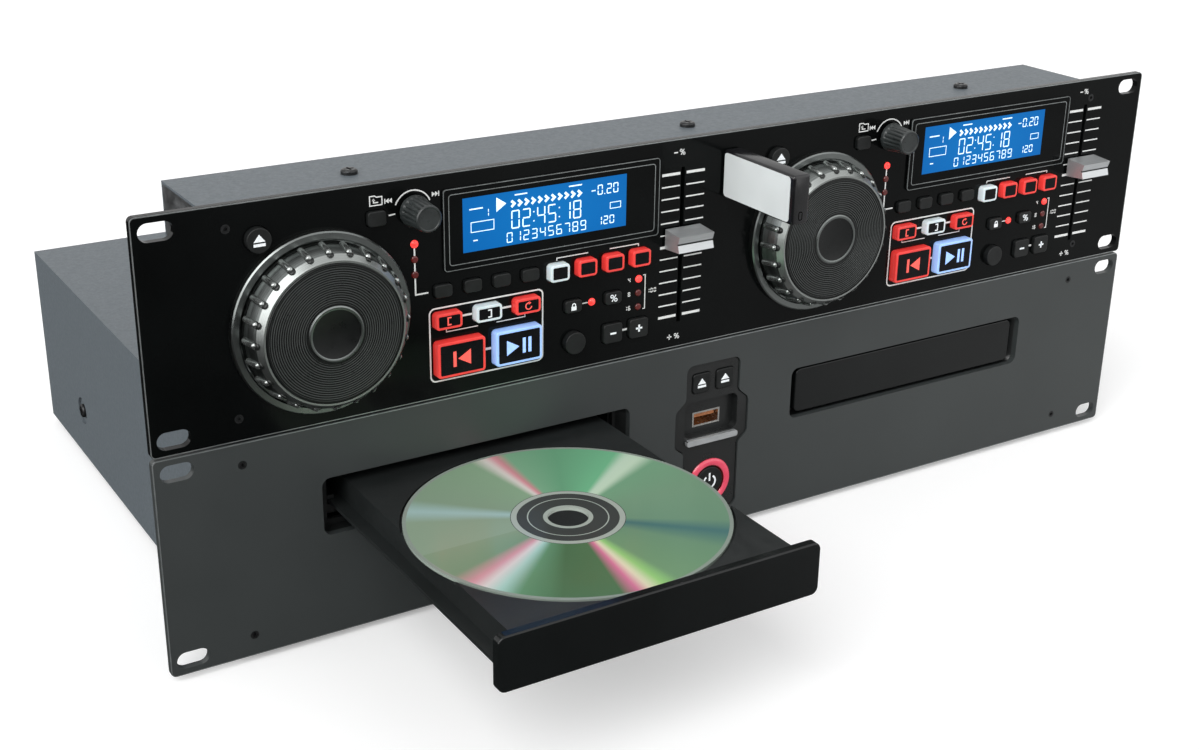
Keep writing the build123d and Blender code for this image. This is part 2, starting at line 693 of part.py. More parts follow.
def screws():
    """Every screw: eight in the panels, three in the top and four in the sides."""
    solids = [panel_screw(x, z) for base in (CONTROL_Z, DRIVE_Z)
              for x, z in panel_screw_places(base)]
    for x, y in top_screw_places():
        solids.append(Pos(x, y, CONTROL_TOP) * case_screw())
    for side, y, z in side_screw_places():
        seat_x = side * (CASE_WIDTH / 2 - DIMPLE_DEPTH)
        solids.append(Pos(seat_x, y, z) * Rot(0, side * 90, 0) * case_screw())
    return solids


# ---- jog wheels ----
def wheel_surround(deck_x):
    """The ring round a jog wheel, with a floor and the wheel's bearing tube."""
    tube = SPINDLE_RADIUS + BEARING_WALL
    bore = SPINDLE_RADIUS + RUNNING_FIT
    rim = SURROUND_PROUD / 6
    outline = [
        (bore, -SURROUND_FLOOR), (SURROUND_INNER, -SURROUND_FLOOR),
        (SURROUND_INNER, rim - SURROUND_PROUD), (SURROUND_INNER + rim, -SURROUND_PROUD),
        (SURROUND_RADIUS - rim, -SURROUND_PROUD), (SURROUND_RADIUS, rim - SURROUND_PROUD),
        (SURROUND_RADIUS, 0), (tube, 0), (tube, BEARING_LENGTH), (bore, BEARING_LENGTH),
    ]
    return turned(outline, deck_x, CONTROL_Z + JOG_RISE)


def wheel_rib():
    """One round-ended rib, lying on the sloping side of the wheel in the x, y plane."""
    slope = (WHEEL_BASE_RADIUS - WHEEL_TOP_RADIUS) / (WHEEL_SIDE_DEPTH + WHEEL_BASE_Y)
    ends = [(WHEEL_BASE_RADIUS - slope * (depth + WHEEL_BASE_Y), -depth)
            for depth in (RIB_START, RIB_END)]
    spine = Line((*ends[0], 0), (*ends[1], 0))
    section = Plane(origin=spine @ 0, z_dir=spine % 0) * Circle(RIB_RADIUS)
    rib = sweep(section, path=spine)
    for x, y in ends:
        rib = rib + Pos(x, y, 0) * Sphere(RIB_RADIUS)
    return rib


def jog_wheel(deck_x):
    """A hollow wheel with a sloping ribbed side, a bevelled lip and a spindle."""
    web = PLATE_Y + WHEEL_WEB
    recess = PLATE_RADIUS + PLATE_FIT
    outline = [
        (0, SPINDLE_LENGTH), (SPINDLE_RADIUS, SPINDLE_LENGTH), (SPINDLE_RADIUS, WHEEL_BASE_Y),
        (WHEEL_HUB, WHEEL_BASE_Y), (WHEEL_HUB, web), (WHEEL_TOP_RADIUS - WHEEL_WALL, web),
        (WHEEL_BASE_RADIUS - WHEEL_WALL, WHEEL_BASE_Y), (WHEEL_BASE_RADIUS, WHEEL_BASE_Y),
        (WHEEL_TOP_RADIUS, -WHEEL_SIDE_DEPTH), (WHEEL_LIP_RADIUS, -WHEEL_PROUD),
        (recess, -WHEEL_PROUD), (recess, PLATE_Y), (0, PLATE_Y),
    ]
    wheel = revolve(make_face(Polyline(*outline, close=True)), axis=Axis.Y)
    rib = wheel_rib()
    ribs = [Rot(0, 360 / RIB_COUNT * i, 0) * rib for i in range(RIB_COUNT)]
    return Pos(deck_x, 0, CONTROL_Z + JOG_RISE) * (wheel + ribs)


def jog_plate(deck_x):
    """The plate in the wheel's recess, with a raised ring round its centre."""
    face = PLATE_Y - PLATE_THICKNESS
    ring = face - CAP_RING_PROUD
    outline = [
        (0, PLATE_Y), (PLATE_RADIUS, PLATE_Y), (PLATE_RADIUS, face),
        (CAP_RING_OUTER, face), (CAP_RING_OUTER - CAP_RING_PROUD, ring),
        (CAP_RING_INNER + CAP_RING_PROUD, ring), (CAP_RING_INNER, face), (0, face),
    ]
    return turned(outline, deck_x, CONTROL_Z + JOG_RISE)


# ---- track knobs ----
def track_knob(deck_x):
    """A tapered knob, bored to turn on its shaft."""
    bore = SHAFT_RADIUS + RUNNING_FIT
    bore_end = -SHAFT_PROUD - KNOB_GAP / 3
    tip = -KNOB_PROUD
    edge = KNOB_TIP_RADIUS - KEY_EDGE
    outline = [
        (bore, -KNOB_GAP), (KNOB_BASE_RADIUS, -KNOB_GAP), (KNOB_BASE_RADIUS, -KNOB_GAP - KNOB_SKIRT),
        (KNOB_TIP_RADIUS, tip + KEY_EDGE), (edge, tip), (0, tip), (0, bore_end), (bore, bore_end),
    ]
    return turned(outline, *on_deck(deck_x, TRACK_KNOB_AT))


def encoder_shaft(deck_x):
    """The shaft that a knob turns on, pushed in to select."""
    x, z = on_deck(deck_x, TRACK_KNOB_AT)
    return rod(x, z, SHAFT_RADIUS, (-SHAFT_PROUD, SHAFT_INNER))


def encoder(deck_x):
    """The encoder's housing on the board, bored for the shaft."""
    x, z = on_deck(deck_x, TRACK_KNOB_AT)
    front = PANEL_THICKNESS + SKIRT_GAP
    housing = rod(x, z, ENCODER_RADIUS, (front, BOARD_DEPTH))
    bore_end = SHAFT_INNER + SHAFT_TRAVEL + SKIRT_GAP
    return housing - rod(x, z, SHAFT_RADIUS + RUNNING_FIT, (front, bore_end))


# ---- pitch faders ----
def fader_middle(deck_x):
    """The fader cap's centre at rest, as x and z."""
    x, z = on_deck(deck_x, FADER_AT)
    return (x, z + FADER_REST)


def fader_cap(deck_x):
    """A metal cap with a hollowed front and a centre groove, on its lever."""
    x, z = fader_middle(deck_x)
    half = FADER_CAP_HEIGHT / 2
    waist = half * 0.8
    back = -FADER_CAP_GAP
    front = -FADER_CAP_PROUD
    hollow = front + FADER_CAP_HEIGHT / 8
    side = Polyline((back, -half), (front, -waist), (hollow, 0), (front, waist), (back, half), close=True)
    profile = Plane.YZ.offset(x - FADER_CAP_WIDTH / 2) * Pos(0, z) * make_face(side)
    cap = extrude(profile, amount=FADER_CAP_WIDTH)
    groove = bar(x, z, (FADER_CAP_WIDTH, FADER_GROOVE), (front, hollow + FADER_GROOVE))
    lever = bar(x, z, FADER_LEVER, (back, FADER_LEVER_REACH))
    return cap - groove + lever


def fader_track(deck_x):
    """The fader's body behind the panel, open along its slot."""
    x, z = on_deck(deck_x, FADER_AT)
    front = PANEL_THICKNESS + SHEET + SKIRT_GAP
    size = (FADER_BODY_WIDTH, FADER_SLOT[1] + 2 * FADER_BODY_END)
    body = bar(x, z, size, (front, front + FADER_BODY_DEPTH))
    return body - bar(x, z, FADER_SLOT, (front, FADER_LEVER_REACH + KEY_CLEARANCE))


# ---- displays and lamps ----
def display_window(deck_x):
    """A raised window, with a plug that fills the panel's opening."""
    x, z = on_deck(deck_x, WINDOW_AT)
    window = slab(x, z, WINDOW_SIZE, WINDOW_CORNER, (-WINDOW_PROUD, 0))
    window = chamfer(front_edges(window), WINDOW_EDGE)
    plug = grown(WINDOW_SIZE, -WINDOW_PLUG_MARGIN - WINDOW_PLUG_FIT)
    return window + bar(x, z, plug, (0, PANEL_THICKNESS))


def display_module(deck_x):
    """The display behind its window."""
    x, z = on_deck(deck_x, WINDOW_AT)
    front = PANEL_THICKNESS + SCREEN_GAP
    return bar(x, z, SCREEN_SIZE, (front, front + SCREEN_DEPTH))


def lamps():
    """Every deck's round lamps, and the ring round the power key."""
    solids = []
    for deck_x in DECKS.values():
        for spot in LAMP_SPOTS:
            x, z = on_deck(deck_x, spot)
            lamp = rod(x, z, LAMP_RADIUS, (-LAMP_PROUD, PANEL_THICKNESS))
            solids.append(fillet(front_edges(lamp), LAMP_PROUD))
    z = DRIVE_Z + POWER_RISE
    front = CONSOLE_SET_BACK - POWER_RING_PROUD
    ring = rod(0, z, POWER_RING_OUTER, (front, CONSOLE_BACK))
    ring = fillet(front_edges(ring), POWER_RING_PROUD)
    solids.append(ring - rod(0, z, POWER_RING_INNER, (front, CONSOLE_BACK)))
    return solids


# ---- ports and memory stick ----
def port_at_origin(y_front):
    """A port lying across x, opening towards the front, with its contact tongue."""
    shell = grown(PORT_OPENING, PORT_WALL)
    body = bar(0, 0, shell, (y_front, y_front + PORT_DEPTH + PORT_WALL))
    body = body - bar(0, 0, PORT_OPENING, (y_front, y_front + PORT_DEPTH))
    tongue_y = (y_front + PORT_DEPTH - TONGUE_LENGTH, y_front + PORT_DEPTH)
    return body + bar(0, TONGUE_OFFSET, TONGUE, tongue_y)


def ports():
    """The upright port in the control panel and the level one in the console's pocket."""
    upper = Pos(UPPER_PORT_AT[0], 0, CONTROL_Z + UPPER_PORT_AT[1]) * Rot(0, 90, 0)
    pocket_floor = CONSOLE_SET_BACK + POCKET_DEPTH
    lower = Pos(0, 0, DRIVE_Z + POCKET_PORT_RISE)
    return [upper * port_at_origin(0), lower * port_at_origin(pocket_floor)]


def memory_stick():
    """A stick standing on edge in the upper port: case and hollow plug shell."""
    case_y = (-STICK_GAP - STICK_LENGTH, -STICK_GAP)
    case = slab(0, 0, STICK_SIZE[::-1], STICK_CORNER, case_y)
    case = chamfer(front_edges(case), STICK_CORNER / 2)
    plug = bar(0, 0, PLUG_SHELL, (-STICK_GAP, PLUG_LENGTH))
    plug = plug - bar(0, TONGUE_OFFSET, PLUG_VOID, (0, PLUG_LENGTH))
    place = Pos(UPPER_PORT_AT[0], 0, CONTROL_Z + UPPER_PORT_AT[1]) * Rot(0, 90, 0)
    return place * (case + plug)


# ---- trays, doors and disc ----
def tray(tray_x, door_y):
    """A tray behind its door: plate with a disc well, side skirts and running ledges."""
    y = (door_y, door_y + TRAY_LENGTH)
    half = TRAY_WIDTH / 2
    body = block((-half, half), y, (TRAY_TOP - TRAY_PLATE, TRAY_TOP))
    body = body + block((-half, half), (y[0], y[0] + TRAY_WALL), (LEDGE_Z, TRAY_TOP))
    for side in (-1, 1):
        skirt_x = sorted((side * half, side * (half - TRAY_WALL)))
        body = body + block(skirt_x, y, (LEDGE_Z, TRAY_TOP - TRAY_PLATE))
        ledge_x = sorted((side * (half - TRAY_WALL), side * (half + LEDGE_REACH)))
        body = body + block(ledge_x, y, (LEDGE_Z, LEDGE_Z + LEDGE_THICKNESS))
    disc_y = door_y + DISC_SETTING
    well = Pos(0, disc_y, TRAY_TOP - WELL_DEPTH / 2)
    body = body - well * Cylinder(DISC_RADIUS + WELL_CLEARANCE, WELL_DEPTH)
    opening = Pos(0, disc_y, TRAY_TOP) * Cylinder(SPINDLE_SLOT, 4 * TRAY_PLATE)
    slot_y = (disc_y, disc_y + SPINDLE_SLOT_LENGTH)
    slot_z = (TRAY_TOP - 2 * TRAY_PLATE, TRAY_TOP)
    body = body - opening - block((-SPINDLE_SLOT, SPINDLE_SLOT), slot_y, slot_z)
    return Pos(tray_x, 0, 0) * body


def tray_door(tray_x, door_y):
    """The rounded door on a tray's front."""
    door = slab(tray_x, MOUTH_Z, DOOR_SIZE, DOOR_CORNER, (door_y - DOOR_THICKNESS, door_y))
    return fillet(front_edges(door), DOOR_EDGE)


def door_back(is_open):
    """The depth of the back of a door, open or shut."""
    shut = DOOR_SET_BACK + DOOR_THICKNESS
    return shut - TRAY_TRAVEL if is_open else shut


def disc():
    """The disc lying in the open tray."""
    body = Cylinder(DISC_RADIUS, DISC_THICKNESS) - Cylinder(DISC_HOLE_RADIUS, DISC_THICKNESS)
    middle = (TRAYS["left"], door_back(True) + DISC_SETTING, DISC_Z + DISC_THICKNESS / 2)
    return Pos(*middle) * body


# ---- loaders ----
def mouth_bezel(tray_x):
    """The funnel behind a tray mouth, narrowing to the throat that the tray runs through."""
    front = PANEL_THICKNESS
    step = front + FUNNEL_DEPTH
    back = step + THROAT_DEPTH
    bezel = slab(tray_x, MOUTH_Z, grown(MOUTH_SIZE, BEZEL_MARGIN), MOUTH_CORNER, (front, back))
    wide = facing(front) * Pos(tray_x, MOUTH_Z) * RectangleRounded(*MOUTH_SIZE, MOUTH_CORNER)
    narrow = facing(step) * Pos(tray_x, MOUTH_Z) * RectangleRounded(*FUNNEL_END, MOUTH_CORNER)
    funnel = loft([wide.face(), narrow.face()], ruled=True)
    return bezel - funnel - bar(tray_x, MOUTH_Z, THROAT_SIZE, (step, back))


def loader_frame(tray_x):
    """The frame that a tray slides in: floor, walls, guide ribs, bridge and stands."""
    front = PANEL_THICKNESS + FUNNEL_DEPTH + THROAT_DEPTH
    y = (front, front + LOADER_LENGTH)
    inner = TRAY_WIDTH / 2 + LEDGE_REACH + LOADER_GAP
    outer = inner + LOADER_WALL
    floor = LEDGE_Z - GUIDE_GAP - GUIDE_THICKNESS - LOADER_WALL
    top = floor + LOADER_HEIGHT
    frame = block((-outer, outer), y, (floor, floor + LOADER_WALL))
    for side in (-1, 1):
        wall_x = sorted((side * inner, side * outer))
        frame = frame + block(wall_x, y, (floor, top))
        rib_x = sorted((side * inner, side * (inner - GUIDE_REACH)))
        below = LEDGE_Z - GUIDE_GAP
        above = LEDGE_Z + LEDGE_THICKNESS + GUIDE_GAP
        frame = frame + block(rib_x, y, (below - GUIDE_THICKNESS, below))
        frame = frame + block(rib_x, y, (above, above + GUIDE_THICKNESS))
    disc_y = door_back(False) + DISC_SETTING
    bridge_y = (disc_y - BRIDGE_WIDTH / 2, disc_y + BRIDGE_WIDTH / 2)
    frame = frame + block((-outer, outer), bridge_y, (top - LOADER_WALL, top))
    for stand_y in (y[0] + STAND_WIDTH / 8, y[1] - STAND_WIDTH / 8):
        stand_z = (FOOT_HEIGHT + SHEET, floor)
        half = STAND_WIDTH / 2
        frame = frame + block((-half, half), (stand_y, stand_y + STAND_THICKNESS), stand_z)
    return Pos(tray_x, 0, 0) * frame


def turntable(tray_x):
    """The turntable and its motor, under the spindle slot of a shut tray."""
    y = door_back(False) + DISC_SETTING
    top = TRAY_TOP - TRAY_PLATE - TURNTABLE_GAP
    floor = LEDGE_Z - GUIDE_GAP - GUIDE_THICKNESS
    table = Pos(tray_x, y, top - LOADER_WALL / 2) * Cylinder(TURNTABLE_RADIUS, LOADER_WALL)
    motor_height = top - LOADER_WALL - floor
    motor = Pos(tray_x, y, floor + motor_height / 2) * Cylinder(TURNTABLE_RADIUS * 0.7, motor_height)
    return table + motor


def clamp_puck(tray_x):
    """The clamp hanging from the bridge, above the disc of a shut tray."""
    y = door_back(False) + DISC_SETTING
    floor = LEDGE_Z - GUIDE_GAP - GUIDE_THICKNESS - LOADER_WALL
    top = floor + LOADER_HEIGHT - LOADER_WALL
    return Pos(tray_x, y, top - PUCK_THICKNESS / 2) * Cylinder(PUCK_RADIUS, PUCK_THICKNESS)


# ---- centre console ----
def console_outline(margin=0.0):
    """The console's outline: narrow head, wide waist with sloping shoulders, narrow lower part."""
    corners = [
        (CONSOLE_TOP_HALF, CONSOLE_TOP), (CONSOLE_TOP_HALF, CONSOLE_SHOULDER),
        (CONSOLE_WAIST_HALF, CONSOLE_WAIST_TOP), (CONSOLE_WAIST_HALF, CONSOLE_WAIST_BOTTOM),
        (CONSOLE_LOWER_HALF, CONSOLE_HIP), (CONSOLE_LOWER_HALF, CONSOLE_BOTTOM),
    ]
    right = [(x, DRIVE_Z + z) for x, z in corners]
    left = [(-x, z) for x, z in reversed(right)]
    face = make_face(Polyline(*right, *left, close=True))
    face = fillet(face.vertices(), CONSOLE_CORNER)
    return offset(face, amount=margin) if margin else face


def centre_console():
    """The console moulding, the plate behind its port pocket, and its silver lip."""
    body = prism(console_outline(), (CONSOLE_SET_BACK, PANEL_THICKNESS))
    body = body + prism(console_outline(CONSOLE_RIM), (PANEL_THICKNESS, CONSOLE_BACK))
    pocket_z = DRIVE_Z + POCKET_RISE
    depth = (CONSOLE_SET_BACK, CONSOLE_BACK)
    cuts = [slab(0, pocket_z, POCKET_SIZE, CONSOLE_CORNER, depth)]
    cuts.append(rod(0, DRIVE_Z + POWER_RISE, POWER_RING_OUTER, depth))
    for x, z in console_key_places().values():
        cuts.append(prism(Pos(x, z) * cap_outline(CONSOLE_KEY, KEY_CLEARANCE), depth))
    plate_y = (CONSOLE_BACK, CONSOLE_BACK + POCKET_WALL)
    plate = bar(0, pocket_z, grown(POCKET_SIZE, POCKET_WALL), plate_y)
    port = grown(PORT_OPENING, PORT_WALL + SHEET_GAP)
    plate = plate - bar(0, DRIVE_Z + POCKET_PORT_RISE, port, plate_y)
    lip_y = (CONSOLE_SET_BACK - LIP_PROUD, CONSOLE_SET_BACK)
    return [body - cuts, plate, bar(0, DRIVE_Z + LIP_RISE, LIP_SIZE, lip_y)]


# ---- circuit boards ----
def key_switch(x, z):
    """A switch on a board, under a key's stem."""
    size = (SWITCH_SIZE, SWITCH_SIZE)
    return bar(x, z, size, (BOARD_DEPTH - SWITCH_HEIGHT, BOARD_DEPTH))


def control_board():
    """The board behind the control panel, with its switches, encoders and fader bodies."""
    half = CASE_WIDTH / 2 - BOARD_MARGIN
    y = (BOARD_DEPTH, BOARD_DEPTH + BOARD_THICKNESS)
    z = (CONTROL_FLOOR + BOARD_MARGIN, CONTROL_TOP - BOARD_MARGIN)
    board = block((-half, half), y, z)
    cuts = []
    mounted = []
    for deck_x in DECKS.values():
        hole = SPINDLE_RADIUS + BEARING_WALL + SHEET_GAP
        cuts.append(rod(deck_x, CONTROL_Z + JOG_RISE, hole, y))
        mounted.append(encoder(deck_x))
        mounted.append(fader_track(deck_x))
        for spots, size, proud in KEY_LAYOUT.values():
            for spot in spots:
                mounted.append(key_switch(*on_deck(deck_x, spot)))
    shell = grown(PORT_OPENING, PORT_WALL + SHEET_GAP)
    port_z = CONTROL_Z + UPPER_PORT_AT[1]
    cuts.append(bar(UPPER_PORT_AT[0], port_z, shell[::-1], y))
    return [board - cuts] + mounted


def console_boards():
    """The two small boards behind the console's keys."""
    y = (BOARD_DEPTH, BOARD_DEPTH + BOARD_THICKNESS)
    half = CONSOLE_BOARD_HALF
    shell_top = DRIVE_Z + POCKET_RISE + POCKET_SIZE[1] / 2 + POCKET_WALL
    power_z = DRIVE_Z + POWER_RISE
    solids = [block((-half, half), y, (shell_top, DRIVE_Z + CONSOLE_TOP)),
              block((-half, half), y, (power_z - POWER_RING_OUTER, power_z + POWER_RING_OUTER))]
    places = list(console_key_places().values()) + [(0, power_z)]
    return solids + [key_switch(x, z) for x, z in places]


def floor_board(x, size):
    """A board on four standoffs on the drive's floor."""
    floor = FOOT_HEIGHT + SHEET
    top = floor + STANDOFF_HEIGHT
    board_x = (x - size[0] / 2, x + size[0] / 2)
    board_y = (MAIN_BOARD_Y - size[1] / 2, MAIN_BOARD_Y + size[1] / 2)
    board = block(board_x, board_y, (top, top + BOARD_THICKNESS))
    for px in (board_x[0] + STANDOFF_INSET, board_x[1] - STANDOFF_INSET):
        for py in (board_y[0] + STANDOFF_INSET, board_y[1] - STANDOFF_INSET):
            middle = floor + STANDOFF_HEIGHT / 2
            board = board + Pos(px, py, middle) * Cylinder(STANDOFF_RADIUS, STANDOFF_HEIGHT)
    return board


def transformer():
    """The mains transformer on the power board."""
    width, depth, height = TRANSFORMER
    base = FOOT_HEIGHT + SHEET + STANDOFF_HEIGHT + BOARD_THICKNESS
    middle = (POWER_BOARD_X, MAIN_BOARD_Y, base + height / 2)
    return Pos(*middle) * Box(width, depth, height)


# ---- rear sockets ----
def jack_places(group_x):
    """One deck's signal jacks on the drive's back, as x and z."""
    z = DRIVE_Z + DRIVE_JACKS_RISE
    return [(group_x + i * JACK_PITCH_X / 2, z + j * JACK_PITCH_Z / 2)
            for i in (-1, 1) for j in (-1, 1)]


def jack_group(group_x):
    """Four signal jacks on one block, their barrels standing out of the back wall."""
    inside = DRIVE_DEPTH - SHEET
    z = DRIVE_Z + DRIVE_JACKS_RISE
    size = (JACK_PITCH_X * 2, JACK_PITCH_Z * 2)
    group = bar(group_x, z, size, (inside - JACK_BLOCK_DEPTH, inside))
    for x, z in jack_places(group_x):
        group = group + rod(x, z, JACK_RADIUS, (inside, BACK_REACH))
        group = group - rod(x, z, JACK_BORE, (inside, BACK_REACH))
    return group


def link_socket(x, z, wall_back):
    """A round socket for the cable between the units, with its flange outside the wall."""
    flange = (LINK_SOCKET, LINK_SOCKET)
    socket = bar(x, z, flange, (wall_back, wall_back + LINK_PROUD))
    inner = grown(flange, -LINK_PROUD)
    socket = socket + bar(x, z, inner, (wall_back - LINK_DEPTH, wall_back))
    return socket - rod(x, z, LINK_BORE, (wall_back + LINK_PROUD - LINK_DEPTH, wall_back + LINK_PROUD))


def mains_inlet():
    """The mains inlet: flange, recess and three pins."""
    z = DRIVE_Z + INLET_RISE
    outside = DRIVE_DEPTH + LINK_PROUD
    floor = outside - INLET_DEPTH
    inlet = bar(INLET_X, z, INLET_SIZE, (DRIVE_DEPTH, outside))
    shell = grown(INLET_RECESS, LINK_PROUD)
    inlet = inlet + bar(INLET_X, z, shell, (floor - LINK_PROUD, DRIVE_DEPTH))
    inlet = inlet - bar(INLET_X, z, INLET_RECESS, (floor, outside))
    for spread, rise in ((-1, -1), (0, 1), (1, -1)):
        pin_x = INLET_X + spread * INLET_PIN_SPREAD
        pin_z = z + rise * INLET_PIN[0]
        inlet = inlet + bar(pin_x, pin_z, INLET_PIN, (floor, floor + INLET_PIN_LENGTH))
    return inlet


def rear_sockets():
    """Everything that a cable plugs into at the back."""
    solids = [jack_group(x) for x in DRIVE_JACKS_X]
    for x in LINK_SOCKETS_X:
        solids.append(link_socket(x, DRIVE_Z + LINK_RISE, DRIVE_DEPTH))
        solids.append(link_socket(x, CONTROL_Z + LINK_RISE, CONTROL_DEPTH))
    return solids + [mains_inlet()]


# ---- write the pieces ----
save("control_panel", control_panel())
save("control_cover", control_cover())
save("control_chassis", control_chassis())
save("drive_panel", drive_panel())
save("drive_cover", drive_cover())
save("drive_chassis", drive_chassis())
save("feet", *feet())
save("case_screws", *screws())
save("wheel_surrounds", *[wheel_surround(x) for x in DECKS.values()])
save("display_windows", *[display_window(x) for x in DECKS.values()])
save("display_modules", *[display_module(x) for x in DECKS.values()])
save("light_lenses", *lamps())
save("centre_console", *centre_console())
save("usb_sockets", *ports())
save("rear_jacks", *rear_sockets())
save("memory_stick", memory_stick())
save("disc", disc())
save("power_key", power_key())
save("disc_loaders", *[make(x) for x in TRAYS.values()
                       for make in (mouth_bezel, loader_frame, turntable, clamp_puck)])
save("circuit_boards", *control_board(), *console_boards(), transformer(),
     floor_board(MAIN_BOARD_X, MAIN_BOARD), floor_board(POWER_BOARD_X, POWER_BOARD))
for side, tray_x in TRAYS.items():
    save(f"tray_{side}", tray(tray_x, door_back(side == "left")))
    save(f"tray_door_{side}", tray_door(tray_x, door_back(side == "left")))
for side, (key_x, key_z) in console_key_places().items():
    save(f"drive_eject_key_{side}", console_eject_key(key_x, key_z))
for side, deck_x in DECKS.items():
    save(f"jog_wheel_{side}", jog_wheel(deck_x))
    save(f"jog_plate_{side}", jog_plate(deck_x))
    save(f"track_knob_{side}", track_knob(deck_x))
    save(f"encoder_shaft_{side}", encoder_shaft(deck_x))
    save(f"fader_cap_{side}", fader_cap(deck_x))
    for node, (spots, size, proud) in KEY_LAYOUT.items():
        save(f"{node}_{side}", deck_key(deck_x, spots, size, proud))
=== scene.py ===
"""Looks for a twin rack disc player: a two-tray disc drive with a two-deck control unit on top.

Sizes are in millimetres until a mesh is made, and a deck's pieces are placed by how far they lie
right of its jog wheel's axis and above the control panel's lower edge.
"""

import math

import bmesh
import bpy
from mathutils import Matrix, Vector


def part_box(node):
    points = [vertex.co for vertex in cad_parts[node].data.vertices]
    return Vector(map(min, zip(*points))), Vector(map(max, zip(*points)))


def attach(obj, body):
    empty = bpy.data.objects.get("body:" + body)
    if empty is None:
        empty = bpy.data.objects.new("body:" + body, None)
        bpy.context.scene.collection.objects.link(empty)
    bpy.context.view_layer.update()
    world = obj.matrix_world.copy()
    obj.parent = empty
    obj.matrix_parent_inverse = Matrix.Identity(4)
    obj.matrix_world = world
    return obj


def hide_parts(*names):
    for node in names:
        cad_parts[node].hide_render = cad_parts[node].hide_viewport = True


MM = 0.001
WHITE = (1, 1, 1, 1)

# ---- where things are on the part ----
# A spot is how far right of the wheel's axis and above the panel's lower edge a thing lies. A depth
# is measured from the panels' front face, with minus towards the viewer. The wheel's points are
# radius and depth, and a window or screen is its spot, width and height.
FACE = -70.25
DRIVE_Z = 2.8
CONTROL_Z = 91.7
DECK_X = {"left": -175.6, "right": 49.4}
SIDES = ("left", "right")
PANEL_SIZE = (482.6, 88.1)
DISC_AT = (-110.25, FACE - 65.0, 64.4)
DISC_RADIUS = 60.0

JOG_RISE = 39.6
WHEEL_BASE = (30.9, 0.2)
WHEEL_SHOULDER = (28.9, -11.5)
WHEEL_LIP = (27.0, -14.0)
WHEEL_RECESS = 26.3
PLATE_BACK = -13.0
PLATE_RADIUS = 26.0
PLATE_FACE = -14.2
GROOVE_START = 11.9
GROOVE_PITCH = 0.86
GROOVE_COUNT = 16
GROOVE_DEPTH = 0.42
GROOVED_SHARE = (0.44, 0.965)
CAP_RING = (9.2, 10.6)
RIB_COUNT = 24
RIB_RADIUS = 1.3

KNOB_SPOT = (37.7, 76.0)
KNOB_BASE_RADIUS = 6.0
KNOB_TIP_RADIUS = 5.1
KNOB_FRONT = -13.5
KNOB_FLUTES = 18

WINDOW = (96.85, 66.2, 95.2, 31.8)
WINDOW_FACE = FACE - 1.2
SCREEN = (93.0, 67.2, 71.6, 21.0)

FADER_X = 156.2
FADER_REST = 48.0
TICK_RISE = 14.1
TICK_PITCH = 5.0
TICK_COUNT = 13

LOOP_SPOTS = [(50.1 + 16.95 * i, 31.7) for i in range(3)]
EFFECT_SPOTS = [(98.2 + 12.53 * i, 42.5) for i in range(4)]
CUE_SPOT = (54.8, 16.2)
PLAY_SPOT = (79.7, 16.2)
EJECT_SPOT = (-22.0, 74.2)
LOCK_SPOT = (105.2, 27.1)
PERCENT_SPOT = (123.7, 27.4)
MINUS_SPOT = (123.7, 12.4)
PLUS_SPOT = (136.0, 12.4)
FOLDER_SIGN_SPOT = (23.2, 81.5)
SOURCE_LINE_X = 37.8
LAMP_NUMBERS = (("4", 131.2, 32.1), ("8", 131.2, 26.1), ("16", 129.8, 20.2), ("100", 140.4, 26.1))
LIT_LAMPS = ((37.8, 63.0), (114.2, 27.1), (136.2, 33.0))
ROUND_PROUD = 2.6
SMALL_PROUD = 1.6
LIT_PROUD = 3.0
TRANSPORT_PROUD = 3.5

DRIVE_EJECT_X = {"left": -6.0, "right": 6.0}
DRIVE_EJECT_Z = DRIVE_Z + 69.6
POWER_Z = DRIVE_Z + 22.0

STICK_SPOT = (4.1, 71.3)
STICK_SIZE = (8.5, 20.2)
STICK_END = FACE - 46.0

INK = 0.05
SUNK = 0.04

# ---- camera and light ----
EYE = (-391.0, -604.35, 345.3)
TURN = 32.01
DROP = 22.33
ROLL = 0.88
LENS = 50.60
SENSOR = 36.0
WORLD_LEVEL = 0.55
KEY_LEVEL = 1.7
KEY_FROM = (-0.62, -0.5, 0.8)
KEY_SPREAD = 40.0
FILL_LEVEL = 0.5
FILL_FROM = (0.55, -0.7, 0.5)
FILL_SPREAD = 60.0
SIDE_LEVEL = 1.3
SIDE_FROM = (-1.0, -0.08, 0.25)
SIDE_SPREAD = 50.0
FLOOR_SIZE = 16.0
FLOOR_COLOR = (0.8, 0.8, 0.8, 1)
FLOOR_LIFT = 0.3
MIRROR_FADE = {"From Min": -0.20, "From Max": 0.30, "To Min": 0.02, "To Max": 0.55}


# ---- flat shapes, as lists of x, z points ----
def rectangle(x, z, width, height):
    """The four corners of a rectangle about x, z."""
    return [
        (x - width / 2, z - height / 2), (x + width / 2, z - height / 2),
        (x + width / 2, z + height / 2), (x - width / 2, z + height / 2),
    ]


def arc(x, z, radius, start, end, steps):
    """Points on an arc, with angles in degrees from the right."""
    angles = [math.radians(start + (end - start) * i / steps) for i in range(steps + 1)]
    return [(x + radius * math.cos(a), z + radius * math.sin(a)) for a in angles]


def rounded(x, z, width, height, corner, steps=5):
    """A rectangle with round corners."""
    points = []
    for turn, sx, sz in ((0, 1, 1), (90, -1, 1), (180, -1, -1), (270, 1, -1)):
        cx = x + sx * (width / 2 - corner)
        cz = z + sz * (height / 2 - corner)
        points += arc(cx, cz, corner, turn, turn + 90, steps)
    return points


def circle(x, z, radius, steps=28):
    """A closed ring of points."""
    return arc(x, z, radius, 0, 360 - 360 / steps, steps - 1)


